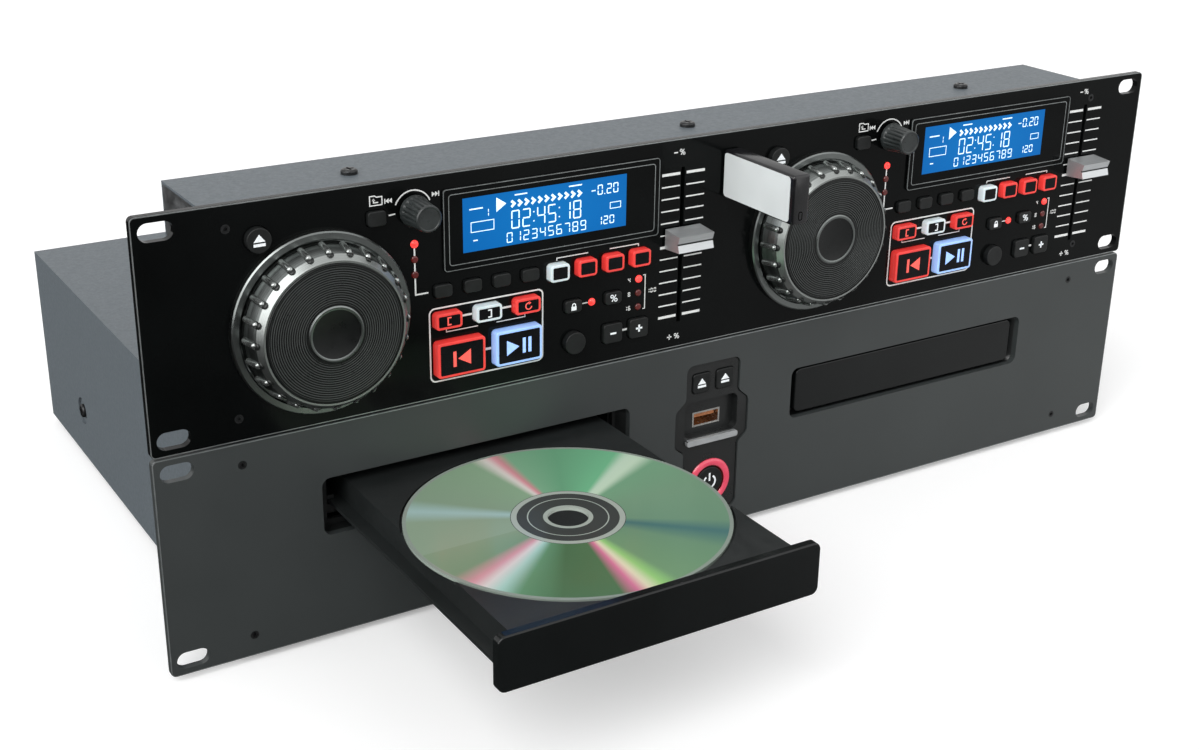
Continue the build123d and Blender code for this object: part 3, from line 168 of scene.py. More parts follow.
def triangle(x, z, width, height, pointing):
    """A triangle that points up, left or right."""
    if pointing == "up":
        return [(x - width / 2, z - height / 2), (x + width / 2, z - height / 2), (x, z + height / 2)]
    tip = width / 2 if pointing == "right" else -width / 2
    return [(x - tip, z - height / 2), (x + tip, z), (x - tip, z + height / 2)]


def stroke(points, width, closed=False):
    """A line of even width along points, as its two edges and whether it closes."""
    count = len(points)
    left, right = [], []
    for i, (x, z) in enumerate(points):
        before = points[i - 1] if closed or i > 0 else None
        after = points[(i + 1) % count] if closed or i < count - 1 else None
        sides = []
        if before is not None:
            sides.append(Vector((x - before[0], z - before[1])).normalized())
        if after is not None:
            sides.append(Vector((after[0] - x, after[1] - z)).normalized())
        along = sum(sides, Vector((0, 0))).normalized()
        across = Vector((-along.y, along.x))
        square = Vector((-sides[0].y, sides[0].x))
        reach = width / 2 / max(across.dot(square), 0.3)
        left.append((x + across.x * reach, z + across.y * reach))
        right.append((x - across.x * reach, z - across.y * reach))
    return (left, right, closed)


BARS_LIT = {
    "0": "abcdef", "1": "bc", "2": "abged", "3": "abgcd", "4": "fgbc", "5": "afgcd",
    "6": "afgedc", "7": "abc", "8": "abcdefg", "9": "abcdfg", "-": "g",
}


def number(text, x, z, width, height, thick, gap):
    """A plain number drawn with seven bars a digit, starting at x and standing on z."""
    shapes = []
    half = height / 2
    for sign in text:
        if sign == ":":
            shapes += [rectangle(x + thick / 2, z + half * k, thick, thick) for k in (0.5, 1.5)]
            x += thick + gap
            continue
        if sign == ".":
            shapes.append(rectangle(x + thick / 2, z + thick / 2, thick, thick))
            x += thick + gap
            continue
        middle = x + width / 2
        flat, tall = width - 1.3 * thick, half - 1.3 * thick
        right, left = x + width - thick / 2, x + thick / 2
        bars = {
            "a": (middle, z + height - thick / 2, flat, thick),
            "g": (middle, z + half, flat, thick),
            "d": (middle, z + thick / 2, flat, thick),
            "b": (right, z + 1.5 * half, thick, tall), "c": (right, z + 0.5 * half, thick, tall),
            "f": (left, z + 1.5 * half, thick, tall), "e": (left, z + 0.5 * half, thick, tall),
        }
        shapes += [rectangle(*bars[bar]) for bar in BARS_LIT.get(sign, "")]
        x += width + gap
    return shapes


# ---- meshes ----
def place(side, dx, rise):
    """A deck's spot as x, z on the control panel."""
    return (DECK_X[side] + dx, CONTROL_Z + rise)


def moved(shapes, x, z):
    """The same shapes, shifted by x, z."""
    result = []
    for shape in shapes:
        if isinstance(shape, tuple):
            left, right, closed = shape
            result.append((moved([left], x, z)[0], moved([right], x, z)[0], closed))
        else:
            result.append([(px + x, pz + z) for px, pz in shape])
    return result


def ring_of(mesh, outline, depth):
    """Corners along an outline of x, z points, all at one depth."""
    return [mesh.verts.new((x * MM, depth * MM, z * MM)) for x, z in outline]


def loft(mesh, rings, capped=True):
    """Walls from ring to ring of corners, with flat ends if capped."""
    count = len(rings[0])
    for near, far in zip(rings, rings[1:]):
        for i in range(count):
            k = (i + 1) % count
            mesh.faces.new((near[i], near[k], far[k], far[i]))
    if capped:
        mesh.faces.new(rings[0])
        mesh.faces.new(rings[-1][::-1])


def add_outline(mesh, outline, front, back):
    """A closed plate of one outline, from the front depth to the back depth."""
    loft(mesh, [ring_of(mesh, outline, front), ring_of(mesh, outline, back)])


def add_strip(mesh, strip, front, back):
    """A closed plate along a line or round a frame."""
    left, right, closed = strip
    edges = ((front, left), (front, right), (back, right), (back, left))
    rows = [ring_of(mesh, line, depth) for depth, line in edges]
    count = len(left)
    for i in range(count if closed else count - 1):
        k = (i + 1) % count
        for a in range(4):
            b = (a + 1) % 4
            mesh.faces.new((rows[a][i], rows[b][i], rows[b][k], rows[a][k]))
    if not closed:
        mesh.faces.new([row[0] for row in rows])
        mesh.faces.new([row[-1] for row in rows][::-1])


def mesh_data(name, mesh):
    """A mesh with its faces pointing outwards, as data."""
    bmesh.ops.recalc_face_normals(mesh, faces=mesh.faces)
    data = bpy.data.meshes.new(name)
    mesh.to_mesh(data)
    mesh.free()
    return data


def piece_of(name, data, finish, body="root", smooth=None):
    """A piece made of mesh data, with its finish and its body."""
    if smooth is not None:
        data.shade_smooth()
        data.set_sharp_from_angle(angle=math.radians(smooth))
    piece = bpy.data.objects.new(name, data)
    bpy.context.scene.collection.objects.link(piece)
    data.materials.clear()
    data.materials.append(finish.material)
    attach(piece, body)
    return piece


def plates(name, shapes, front, back, finish, body="root"):
    """Flat shapes as one piece, all between the same two depths."""
    mesh = bmesh.new()
    for shape in shapes:
        add = add_strip if isinstance(shape, tuple) else add_outline
        add(mesh, shape, front, back)
    return piece_of(name, mesh_data(name, mesh), finish, body)


def stacked(name, sections, finish, body, smooth):
    """A closed piece through outlines at their own depths."""
    mesh = bmesh.new()
    loft(mesh, [ring_of(mesh, outline, depth) for depth, outline in sections])
    return piece_of(name, mesh_data(name, mesh), finish, body, smooth)


def lathe(name, profile, x, z, finish, body="root", slot="bright_metal", segments=96):
    """A closed profile of radius, y points turned about the axis along y through x, z."""
    mesh = bmesh.new()
    rings = []
    for i in range(segments):
        a = 2 * math.pi * i / segments
        rings.append([
            mesh.verts.new(((x + r * math.cos(a)) * MM, y * MM, (z + r * math.sin(a)) * MM))
            for r, y in profile
        ])
    count = len(profile)
    for i in range(segments):
        k = (i + 1) % segments
        for a in range(count):
            b = (a + 1) % count
            if profile[a][0] == 0 and profile[b][0] == 0:
                continue
            mesh.faces.new((rings[i][a], rings[i][b], rings[k][b], rings[k][a]))
    bmesh.ops.remove_doubles(mesh, verts=mesh.verts, dist=1e-7)
    return piece_of(name, mesh_data(name, mesh), finish, body, smooth=32)


# ---- nodes ----
def feed(tree, node, feeds):
    """Sets a node's inputs, each to another node's output or to a plain value."""
    for socket, source in feeds.items():
        if isinstance(source, bpy.types.NodeSocket):
            tree.links.new(source, node.inputs[socket])
        else:
            node.inputs[socket].default_value = source


def add_node(tree, kind, feeds=None, **values):
    """A new node with its properties set and its inputs fed."""
    made = tree.nodes.new(kind)
    for key, value in values.items():
        setattr(made, key, value)
    feed(tree, made, feeds or {})
    return made


def repeat_tree(name, turning):
    """Copies of a shape, either turned about the y axis or set out along a row."""
    tree = bpy.data.node_groups.new(name, "GeometryNodeTree")
    tree.is_modifier = True
    given = (("Shape", "Geometry"), ("Count", "Int"), ("Step", "Vector"), ("Finish", "Material"))
    for socket, kind in given:
        tree.interface.new_socket(socket, in_out="INPUT", socket_type="NodeSocket" + kind)
    tree.interface.new_socket("Result", in_out="OUTPUT", socket_type="NodeSocketGeometry")
    inputs = add_node(tree, "NodeGroupInput").outputs
    offset = (0, 0, 0) if turning else inputs["Step"]
    line = add_node(tree, "GeometryNodeMeshLine", {"Count": inputs["Count"], "Offset": offset})
    feeds = {"Points": line.outputs["Mesh"], "Instance": inputs["Shape"]}
    if turning:
        index = add_node(tree, "GeometryNodeInputIndex").outputs["Index"]
        turn = add_node(tree, "ShaderNodeVectorMath", {0: inputs["Step"], "Scale": index},
                        operation="SCALE")
        spin = add_node(tree, "FunctionNodeEulerToRotation", {"Euler": turn.outputs["Vector"]})
        feeds["Rotation"] = spin.outputs["Rotation"]
    copies = add_node(tree, "GeometryNodeInstanceOnPoints", feeds)
    real = add_node(tree, "GeometryNodeRealizeInstances", {"Geometry": copies.outputs["Instances"]})
    coated = add_node(tree, "GeometryNodeSetMaterial",
                      {"Geometry": real.outputs["Geometry"], "Material": inputs["Finish"]})
    add_node(tree, "NodeGroupOutput", {"Result": coated.outputs["Geometry"]})
    return tree


def repeated(tree, mesh, count, step, shift, name, finish, body="root",
             smooth=None):
    """One shape repeated by a node tree, made plain and shifted into place."""
    holder = bpy.data.objects.new(name + "_one", mesh_data(name + "_one", mesh))
    bpy.context.scene.collection.objects.link(holder)
    modifier = holder.modifiers.new("repeat", "NODES")
    modifier.node_group = tree
    ids = {item.name: item.identifier for item in tree.interface.items_tree}
    modifier[ids["Count"]] = count
    modifier[ids["Step"]] = step
    modifier[ids["Finish"]] = finish.material
    bpy.context.view_layer.update()
    shown = holder.evaluated_get(bpy.context.evaluated_depsgraph_get())
    result = bpy.data.meshes.new_from_object(shown)
    holder.modifiers.remove(modifier)
    bpy.data.objects.remove(holder)
    result.name = name
    result.transform(Matrix.Translation(Vector(shift) * MM))
    return piece_of(name, result, finish, body, smooth)


# ---- finishes ----
class Finish:
    """A principled material with short ways to add grain, ramps and bumps."""

    def __init__(self, name, color, rough, metal=0.0, specular=0.5):
        self.material = bpy.data.materials.new(name)
        self.material.use_nodes = True
        self.tree = self.material.node_tree
        self.color = color
        self.shade({"Base Color": (*color, 1), "Roughness": rough, "Metallic": metal,
                    "Specular IOR Level": specular})
        self.place = self.node("ShaderNodeTexCoord").outputs["Object"]

    def node(self, kind, feeds=None, **values):
        """A new node of this material."""
        return add_node(self.tree, kind, feeds, **values)

    def shade(self, feeds):
        """Sets inputs of the shader."""
        feed(self.tree, self.tree.nodes["Principled BSDF"], feeds)

    def centred(self, x, y, z):
        """Object coordinates measured from a point given in millimetres."""
        feeds = {"Vector": self.place, "Location": (x * MM, y * MM, z * MM)}
        return self.node("ShaderNodeMapping", feeds, vector_type="TEXTURE").outputs["Vector"]

    def scaled(self, vector, scale):
        """Coordinates scaled along each axis."""
        return self.node("ShaderNodeMapping", {"Vector": vector, "Scale": scale}).outputs["Vector"]

    def length(self, vector):
        """The length of a vector, in metres."""
        return self.node("ShaderNodeVectorMath", {0: vector}, operation="LENGTH").outputs["Value"]

    def from_axis(self, x, z):
        """The distance from the axis along y through x, z, in metres."""
        return self.length(self.scaled(self.centred(x, 0, z), (1, 0, 1)))

    def dimmed(self, color, factor):
        """A colour times a factor."""
        feeds = {0: color, "Scale": factor}
        return self.node("ShaderNodeVectorMath", feeds, operation="SCALE").outputs["Vector"]

    def noise(self, size, detail=3.0, stretch=None):
        """Noise whose spots are about size millimetres across."""
        source = self.scaled(self.place, stretch) if stretch else self.place
        feeds = {"Vector": source, "Scale": 1000.0 / size, "Detail": detail}
        return self.node("ShaderNodeTexNoise", feeds).outputs["Fac"]

    def ramp(self, factor, stops, constant=False):
        """A colour ramp fed by factor."""
        made = self.node("ShaderNodeValToRGB", {"Fac": factor})
        ramp = made.color_ramp
        ramp.interpolation = "CONSTANT" if constant else "LINEAR"
        while len(ramp.elements) < len(stops):
            ramp.elements.new(0.5)
        for element, (position, color) in zip(ramp.elements, stops):
            element.position = position
            element.color = (*color, 1)
        return made.outputs["Color"]

    def mapped(self, factor, low, high, start=0.0, end=1.0, clamp=True):
        """factor from low..high mapped onto start..end."""
        feeds = {"Value": factor, "From Min": low, "From Max": high, "To Min": start, "To Max": end}
        return self.node("ShaderNodeMapRange", feeds, clamp=clamp).outputs["Result"]

    def mottle(self, factor, spread):
        """Base colour a little darker and lighter about its own, by factor."""
        dark = tuple(c * (1 - spread) for c in self.color)
        light = tuple(min(1, c * (1 + spread)) for c in self.color)
        self.shade({"Base Color": self.ramp(factor, [(0.3, dark), (0.7, light)])})

    def roughen(self, factor, low, high):
        """Roughness between two levels, by factor."""
        self.shade({"Roughness": self.mapped(factor, 0.3, 0.7, low, high)})

    def bump(self, height, depth, strength=1.0):
        """A bump of so many millimetres."""
        feeds = {"Height": height, "Distance": depth * MM, "Strength": strength}
        self.shade({"Normal": self.node("ShaderNodeBump", feeds).outputs["Normal"]})

    def glow(self, color, strength):
        """Light of its own, in one colour or in a linked one."""
        if isinstance(color, tuple):
            color = (*color, 1)
        self.shade({"Emission Color": color, "Emission Strength": strength})


def grained(name, color, rough, mottle, roughen=None, bump=None, **values):
    """A finish whose colour, roughness and surface each vary by a noise of its own.

    Each grain is the noise's size and detail, and then how far it goes.
    """
    finish = Finish(name, color, rough, **values)
    for grain, vary in ((mottle, finish.mottle), (roughen, finish.roughen), (bump, finish.bump)):
        if grain:
            size, detail, *reach = grain
            vary(finish.noise(size, detail), *reach)
    return finish


def gloss_panel():
    """Black gloss lacquer on aluminium."""
    return grained("panel gloss black", (0.003, 0.0035, 0.0035), 0.14,
                   mottle=(60, 3, 0.3), roughen=(25, 3, 0.11, 0.17), bump=(1.1, 4, 0.004, 0.5),
                   specular=0.12)


def satin_panel():
    """Dark satin paint with a fine grain."""
    return grained("panel satin charcoal", (0.036, 0.041, 0.041), 0.42,
                   mottle=(90, 3, 0.12), roughen=(30, 3, 0.38, 0.46), bump=(0.5, 5, 0.012, 0.6))


def powder_coat():
    """Grainy powder coat on folded steel."""
    return grained("case powder coat", (0.095, 0.112, 0.125), 0.5,
                   mottle=(0.9, 4, 0.14), roughen=(2.0, 4, 0.44, 0.56), bump=(0.6, 3, 0.02, 0.5))


def plain_steel():
    """Zinc-plated steel inside the case."""
    return grained("chassis steel", (0.45, 0.46, 0.47), 0.38,
                   mottle=(12, 3, 0.12), roughen=(6, 4, 0.3, 0.46), metal=1.0)


def tray_plastic():
    """Satin black moulded plastic."""
    return grained("tray plastic", (0.012, 0.014, 0.014), 0.36,
                   mottle=(40, 3, 0.2), roughen=(8, 4, 0.3, 0.42), bump=(0.4, 4, 0.01, 0.5))


def door_gloss():
    """Polished black plastic."""
    return grained("door gloss", (0.005, 0.006, 0.006), 0.16,
                   mottle=(50, 3, 0.2), roughen=(18, 3, 0.13, 0.2), bump=(3, 2, 0.002, 0.4),
                   specular=0.35)


def turned_metal(name, color, low, high, x, z):
    """Metal turned on a lathe, with fine lines round the axis at x, z."""
    finish = Finish(name, color, low, metal=1.0)
    feeds = {"W": finish.from_axis(x, z), "Scale": 6000, "Detail": 4}
    lines = finish.node("ShaderNodeTexNoise", feeds, noise_dimensions="1D").outputs["Fac"]
    finish.mottle(lines, 0.14)
    finish.roughen(lines, low, high)
    finish.bump(lines, 0.01, 0.4)
    return finish


def rib_gloss():
    """Glossy grey metal of the ribs."""
    return grained("wheel rib", (0.34, 0.36, 0.35), 0.18,
                   mottle=(3, 3, 0.35), roughen=(2, 3, 0.14, 0.26), metal=0.9, specular=0.8)


def plate_black():
    """Black anodised plate."""
    return grained("wheel plate", (0.016, 0.018, 0.017), 0.28,
                   mottle=(5, 3, 0.3), roughen=(4, 4, 0.24, 0.36), metal=0.4, specular=0.6)


def grooved_black(side):
    """Black anodised plate with painted shade in its turned grooves and a painted sheen on the lands
    between them.
    """
    finish = Finish("grooved plate " + side, (0.016, 0.018, 0.017), 0.3, metal=0.5, specular=0.6)
    away = finish.from_axis(*place(side, 0, JOG_RISE))
    first, second = GROOVE_START * MM, (GROOVE_START + GROOVE_PITCH) * MM
    turns = finish.mapped(away, first, second, 0, 2 * math.pi, clamp=False)
    wave = finish.node("ShaderNodeMath", {0: turns}, operation="COSINE").outputs[0]
    painted_land_sheen = finish.mapped(wave, 1.0, -1.0)
    out = finish.mapped(away, 0.0, PLATE_RADIUS * MM)
    inner, outer = GROOVED_SHARE
    stops = [(0.0, (0, 0, 0)), (inner, (1, 1, 1)), (outer, (0, 0, 0))]
    # Painted shade and sheen: dark at each groove's middle and paler on the lands between, over the
    # grooved band only.
    shown = finish.dimmed(finish.ramp(out, stops, constant=True), painted_land_sheen)
    color = finish.ramp(shown, [(0.1, (0.008, 0.009, 0.009)), (0.9, (0.085, 0.092, 0.09))])
    finish.shade({"Base Color": color})
    finish.roughen(finish.noise(4, 4), 0.26, 0.38)
    return finish


def knob_plastic():
    """Dark grey satin plastic."""
    return grained("knob plastic", (0.022, 0.026, 0.026), 0.3,
                   mottle=(6, 3, 0.25), roughen=(2, 4, 0.26, 0.38), bump=(0.5, 3, 0.01, 0.4))


def brushed(name, color, rough, metal, noise_size, spread, low, high):
    """Metal brushed along its length, as its finish and its lines."""
    finish = Finish(name, color, rough, metal=metal)
    lines = finish.noise(noise_size, 4, stretch=(0.06, 1, 1))
    finish.mottle(lines, spread)
    finish.roughen(lines, low, high)
    return finish, lines


def bright_metal():
    """Satin silver metal."""
    finish, lines = brushed("bright metal", (0.62, 0.63, 0.63), 0.28, 1.0, 0.35, 0.1, 0.22, 0.36)
    finish.bump(lines, 0.006, 0.5)
    return finish


def cap_silver():
    """Satin silver of the fader caps and the console's lip."""
    return brushed("fader silver", (0.58, 0.6, 0.61), 0.38, 0.75, 0.4, 0.07, 0.36, 0.48)[0]


def ring_satin():
    """Dark satin metal of the rings round the wheels."""
    return grained("surround satin", (0.2, 0.215, 0.21), 0.3,
                   mottle=(14, 2, 0.06), roughen=(9, 2, 0.26, 0.34), metal=1.0)


def bare_edge():
    """A grey metal strip that paints the highlight on a panel's bevelled edge, and the highlight lines
    on a display's window.
    """
    return grained("painted edge highlight", (0.3, 0.32, 0.32), 0.35,
                   mottle=(5, 3, 0.2), roughen=(2, 3, 0.28, 0.44), metal=0.7)


def key_dark():
    """Dark rubbery key plastic."""
    return grained("key dark", (0.009, 0.010, 0.010), 0.45,
                   mottle=(4, 3, 0.25), roughen=(1.5, 4, 0.38, 0.52), bump=(0.35, 4, 0.012, 0.6),
                   specular=0.3)


RED_LIT = (0.80, 0.045, 0.04)
WHITE_LIT = (0.62, 0.68, 0.70)
BLUE_LIT = (0.33, 0.52, 0.95)
LIT_FROM = 40
LIT_TO = 170


def lit_key(name, colors, side, edges, level):
    """Clear plastic lit from within, whose colour changes from key to key at the edges."""
    finish = Finish(name, colors[0], 0.3)
    across = finish.node("ShaderNodeSeparateXYZ", {0: finish.place}).outputs["X"]
    along = finish.mapped(across, (DECK_X[side] + LIT_FROM) * MM, (DECK_X[side] + LIT_TO) * MM)
    starts = [0] + [(edge - LIT_FROM) / (LIT_TO - LIT_FROM) for edge in edges]
    color = finish.ramp(along, list(zip(starts, colors)), constant=True)
    cloud = finish.mapped(finish.noise(9, 1), 0.3, 0.7, 0.88, 1.06)
    shade = finish.dimmed(color, cloud)
    finish.shade({"Base Color": shade, "Subsurface Weight": 0.2})
    finish.glow(shade, level)
    return finish


def key_face():
    """The black window in a lit key."""
    return grained("key face", (0.004, 0.004, 0.005), 0.2,
                   mottle=(4, 3, 0.3), roughen=(3, 3, 0.16, 0.26), specular=0.15)


def lit_sign(name, color, level):
    """A small lit sign."""
    finish = grained(name, color, 0.4, mottle=(1.2, 2, 0.12))
    finish.glow(color, level)
    return finish


def white_ink():
    """Screen-printed white ink."""
    return grained("white ink", (0.78, 0.79, 0.78), 0.45,
                   mottle=(0.8, 4, 0.05), bump=(0.3, 3, 0.004, 0.5))


def window_black():
    """Smoked clear plastic over the display."""
    return grained("window black", (0.0025, 0.003, 0.003), 0.09,
                   mottle=(30, 3, 0.3), roughen=(14, 3, 0.07, 0.12), specular=0.1)


def screen_blue(side):
    """Backlit blue, brighter towards the middle."""
    x, z = place(side, SCREEN[0], SCREEN[1])
    finish = Finish("screen blue " + side, (0.001, 0.03, 0.09), 0.12, specular=0.12)
    wide = finish.scaled(finish.centred(x, WINDOW_FACE, z), (12, 0, 26))
    spread = finish.node("ShaderNodeTexGradient", {"Vector": wide}, gradient_type="SPHERICAL")
    stops = [(0.3, (0.001, 0.105, 0.40)), (1.0, (0.004, 0.17, 0.50))]
    finish.glow(finish.ramp(spread.outputs["Fac"], stops), 0.92)
    finish.roughen(finish.noise(9), 0.08, 0.14)
    return finish


def lamp_dark():
    """An unlit red lens, given a faint painted glow."""
    finish = grained("lamp red", (0.07, 0.005, 0.004), 0.15, mottle=(1.5, 3, 0.3))
    # Painted glow: the unlit lens gives off a faint red light of its own.
    finish.glow((0.3, 0.01, 0.008), 0.1)
    finish.shade({"Coat Weight": 0.6})
    return finish


def cloudy_glow(name, color, rough, size, dim, bright, strength):
    """A lit lens whose glow is uneven."""
    finish = Finish(name, color, rough)
    finish.glow(finish.ramp(finish.noise(size, 1), [(0.35, dim), (0.7, bright)]), strength)
    return finish


def lamp_lit():
    """A lit red lens."""
    return cloudy_glow("lamp lit", (0.9, 0.05, 0.03), 0.2, 1.4, (0.80, 0.012, 0.02),
                       (0.95, 0.09, 0.09), 1.0)


def console_plastic():
    """Satin black moulding."""
    return grained("console plastic", (0.012, 0.013, 0.013), 0.3,
                   mottle=(20, 3, 0.2), roughen=(6, 4, 0.26, 0.38), bump=(0.5, 4, 0.008, 0.5))


def port_amber():
    """The orange contact tongue in a port, with a painted glow that lights it inside the port."""
    finish = grained("port amber", (0.42, 0.16, 0.06), 0.4, mottle=(1.5, 3, 0.25))
    # Painted glow: the tongue gives off light of its own though it is no lamp.
    finish.glow((0.3, 0.1, 0.03), 0.15)
    return finish


def ring_pink():
    """The lit ring round the power key."""
    finish = cloudy_glow("power ring", (0.55, 0.05, 0.09), 0.16, 6, (0.5, 0.03, 0.07),
                         (0.72, 0.09, 0.15), 0.45)
    finish.shade({"Coat Weight": 0.5})
    return finish


def stick_black():
    """Black gloss of the memory stick's body."""
    return grained("stick black", (0.006, 0.006, 0.007), 0.18,
                   mottle=(6, 3, 0.3), roughen=(4, 3, 0.14, 0.24))


def rubber():
    """Matt black rubber."""
    return grained("rubber black", (0.012, 0.012, 0.012), 0.75,
                   mottle=(3, 4, 0.3), bump=(0.6, 4, 0.03, 0.6))


def board_green():
    """Solder mask with faint tracks."""
    finish = Finish("board green", (0.01, 0.11, 0.045), 0.35)
    finish.mottle(finish.noise(4, 2, stretch=(1, 0.2, 1)), 0.3)
    finish.roughen(finish.noise(3), 0.28, 0.42)
    return finish


def loader_plastic():
    """Black plastic round and behind the tray mouths."""
    return grained("loader plastic", (0.009, 0.010, 0.010), 0.34,
                   mottle=(12, 3, 0.2), roughen=(4, 4, 0.3, 0.42), bump=(0.6, 4, 0.01, 0.5))


def port_metal():
    """Nickel-plated port shells and jacks."""
    return grained("port metal", (0.66, 0.65, 0.62), 0.22,
                   mottle=(2, 3, 0.12), roughen=(1.5, 3, 0.16, 0.3), metal=1.0)


def screw_black():
    """Blackened steel."""
    return grained("screw black", (0.03, 0.031, 0.032), 0.32,
                   mottle=(1.0, 3, 0.3), roughen=(0.8, 3, 0.26, 0.42), metal=0.7)


# Painted reflection: the colours and bright glints the disc's tracks throw, set by angle round the disc.
PAINTED_RAINBOW = [
    (0.00, (0.30, 0.42, 0.28)), (0.05, (0.24, 0.38, 0.24)), (0.072, (0.80, 0.38, 0.44)),
    (0.086, (0.86, 0.80, 0.78)), (0.10, (0.50, 0.78, 0.70)), (0.12, (0.16, 0.36, 0.20)),
    (0.16, (0.10, 0.21, 0.10)), (0.215, (0.11, 0.23, 0.11)), (0.231, (0.85, 0.25, 0.42)),
    (0.243, (0.96, 0.92, 0.66)), (0.257, (0.40, 0.78, 0.26)), (0.275, (0.22, 0.40, 0.22)),
    (0.35, (0.20, 0.37, 0.23)), (0.385, (0.09, 0.22, 0.22)), (0.41, (0.21, 0.38, 0.25)),
    (0.50, (0.24, 0.42, 0.27)), (0.568, (0.24, 0.48, 0.29)), (0.584, (0.72, 0.92, 0.70)),
    (0.6, (0.70, 0.90, 0.70)), (0.612, (0.22, 0.62, 0.34)), (0.68, (0.18, 0.46, 0.26)),
    (0.736, (0.26, 0.52, 0.32)), (0.748, (0.85, 0.32, 0.38)), (0.76, (0.92, 0.86, 0.80)),
    (0.776, (0.32, 0.50, 0.32)), (0.88, (0.30, 0.43, 0.30)), (0.905, (0.46, 0.66, 0.64)),
    (0.93, (0.34, 0.46, 0.33)),
]
HUB_CLEAR = (0.07, 0.078, 0.074)
HUB_LINE = (0.5, 0.56, 0.5)
DISC_RIM = (0.975, (0.34, 0.4, 0.35))
HUB = [
    (0.0, HUB_LINE), (0.135, HUB_LINE), (0.15, HUB_CLEAR), (0.235, HUB_CLEAR), (0.24, HUB_LINE),
    (0.25, HUB_CLEAR), (0.305, HUB_CLEAR), (0.31, HUB_LINE), (0.345, HUB_CLEAR), DISC_RIM,
]
SILVERED = [(0.0, (0, 0, 0)), (0.348, (1, 1, 1)), (0.975, (0, 0, 0))]


def disc_silver():
    """A silvered disc with the light its tracks split painted into coloured wedges, with a clear hub and
    rim.
    """
    finish = Finish("disc silver", (0.35, 0.45, 0.35), 0.24, metal=0.3, specular=0.25)
    local = finish.centred(*DISC_AT)
    around = finish.node("ShaderNodeTexGradient", {"Vector": local}, gradient_type="RADIAL")
    out = finish.mapped(finish.length(local), 0.0, DISC_RADIUS * MM)
    feeds = {
        "Factor": finish.ramp(out, SILVERED, constant=True),
        6: finish.ramp(out, HUB, constant=True),
        7: finish.ramp(around.outputs["Fac"], PAINTED_RAINBOW),
    }
    mix = finish.node("ShaderNodeMix", feeds, data_type="RGBA")
    finish.shade({"Base Color": mix.outputs[2], "Anisotropic": 0.5})
    finish.roughen(finish.noise(20), 0.17, 0.25)
    return finish


def stick_face():
    """White lacquer on the memory stick's side plates."""
    return grained("stick face", (0.66, 0.69, 0.69), 0.32,
                   mottle=(18, 1, 0.04), roughen=(15, 1, 0.28, 0.38))


def make_finishes():
    """Every finish that isn't bound to one deck, by a short name."""
    makers = (
        gloss_panel, satin_panel, powder_coat, plain_steel, tray_plastic, door_gloss, rib_gloss,
        plate_black, knob_plastic, bright_metal, key_dark, key_face, white_ink, window_black,
        lamp_dark, lamp_lit, console_plastic, rubber, board_green, loader_plastic, port_metal,
        screw_black, disc_silver, stick_face, ring_satin, cap_silver, bare_edge, port_amber,
        ring_pink, stick_black,
    )
    made = {maker.__name__: maker() for maker in makers}
    made["sign_white"] = lit_sign("sign white", (0.80, 0.84, 0.86), 0.15)
    made["sign_red"] = lit_sign("sign red", (0.85, 0.10, 0.08), 0.5)
    made["sign_blue"] = lit_sign("sign blue", (0.30, 0.48, 0.95), 0.65)
    made["segments"] = lit_sign("screen segments", (0.62, 0.80, 0.95), 0.8)
    return made


NODE_FINISHES = {
    "control_panel": "gloss_panel", "drive_panel": "satin_panel",
    "control_cover": "powder_coat", "drive_cover": "powder_coat",
    "control_chassis": "plain_steel", "drive_chassis": "plain_steel",
    "feet": "rubber", "wheel_surrounds": "ring_satin", "case_screws": "screw_black",
    "display_windows": "window_black", "display_modules": "board_green",
    "light_lenses": "lamp_dark", "centre_console": "console_plastic", "usb_sockets": "port_metal",
    "rear_jacks": "port_metal", "disc": "disc_silver", "power_key": "key_dark",
    "disc_loaders": "loader_plastic", "circuit_boards": "board_green",
}
DECK_FINISHES = {
    "tray": "tray_plastic", "tray_door": "door_gloss", "drive_eject_key": "key_dark",
    "encoder_shaft": "plain_steel", "fader_cap": "cap_silver", "eject_key": "key_dark",
    "folder_key": "key_dark", "mode_keys": "key_dark", "tempo_lock_key": "key_dark",
    "pitch_range_key": "key_dark", "tap_key": "key_dark", "bend_minus_key": "key_dark",
    "bend_plus_key": "key_dark",
}
LIT_KEYS = {
    "effect_keys": ([WHITE_LIT, RED_LIT], [104.0], 0.32),
    "loop_keys": ([RED_LIT, WHITE_LIT, RED_LIT], [58.0, 74.9], 0.32),
    "cue_key": ([RED_LIT], [], 0.35),
    "play_key": ([BLUE_LIT], [], 0.4),
}


def dress(node, finish):
    """Gives a kept CAD node its finish."""
    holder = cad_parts[node]
    holder.data.materials.clear()
    holder.data.materials.append(finish.material)


def dress_nodes():
    """Finishes for every CAD node that is kept."""
    for node, finish in NODE_FINISHES.items():
        dress(node, finishes[finish])
    for side in SIDES:
        for node, finish in DECK_FINISHES.items():
            dress(node + "_" + side, finishes[finish])


def dress_lit_keys(side):
    """The clear bodies of the lit keys."""
    for node, (colors, edges, level) in LIT_KEYS.items():
        name = node.replace("_", " ") + " " + side
        dress(node + "_" + side, lit_key(name, colors, side, edges, level))


# ---- jog wheels ----
def wheel_profile():
    """The sloping hollow wheel, its lip and its recess."""
    base, shoulder, lip = WHEEL_BASE, WHEEL_SHOULDER, WHEEL_LIP
    return [
        (0, FACE + PLATE_BACK), (WHEEL_RECESS, FACE + PLATE_BACK), (WHEEL_RECESS, FACE + lip[1]),
        (lip[0], FACE + lip[1]), (shoulder[0], FACE + shoulder[1]), (base[0], FACE + base[1] + 0.5),
        (base[0], FACE + base[1]), (base[0] - 2.0, FACE + base[1]),
        (shoulder[0] - 2.0, FACE + PLATE_BACK + 2.0), (0, FACE + PLATE_BACK + 2.0),
    ]


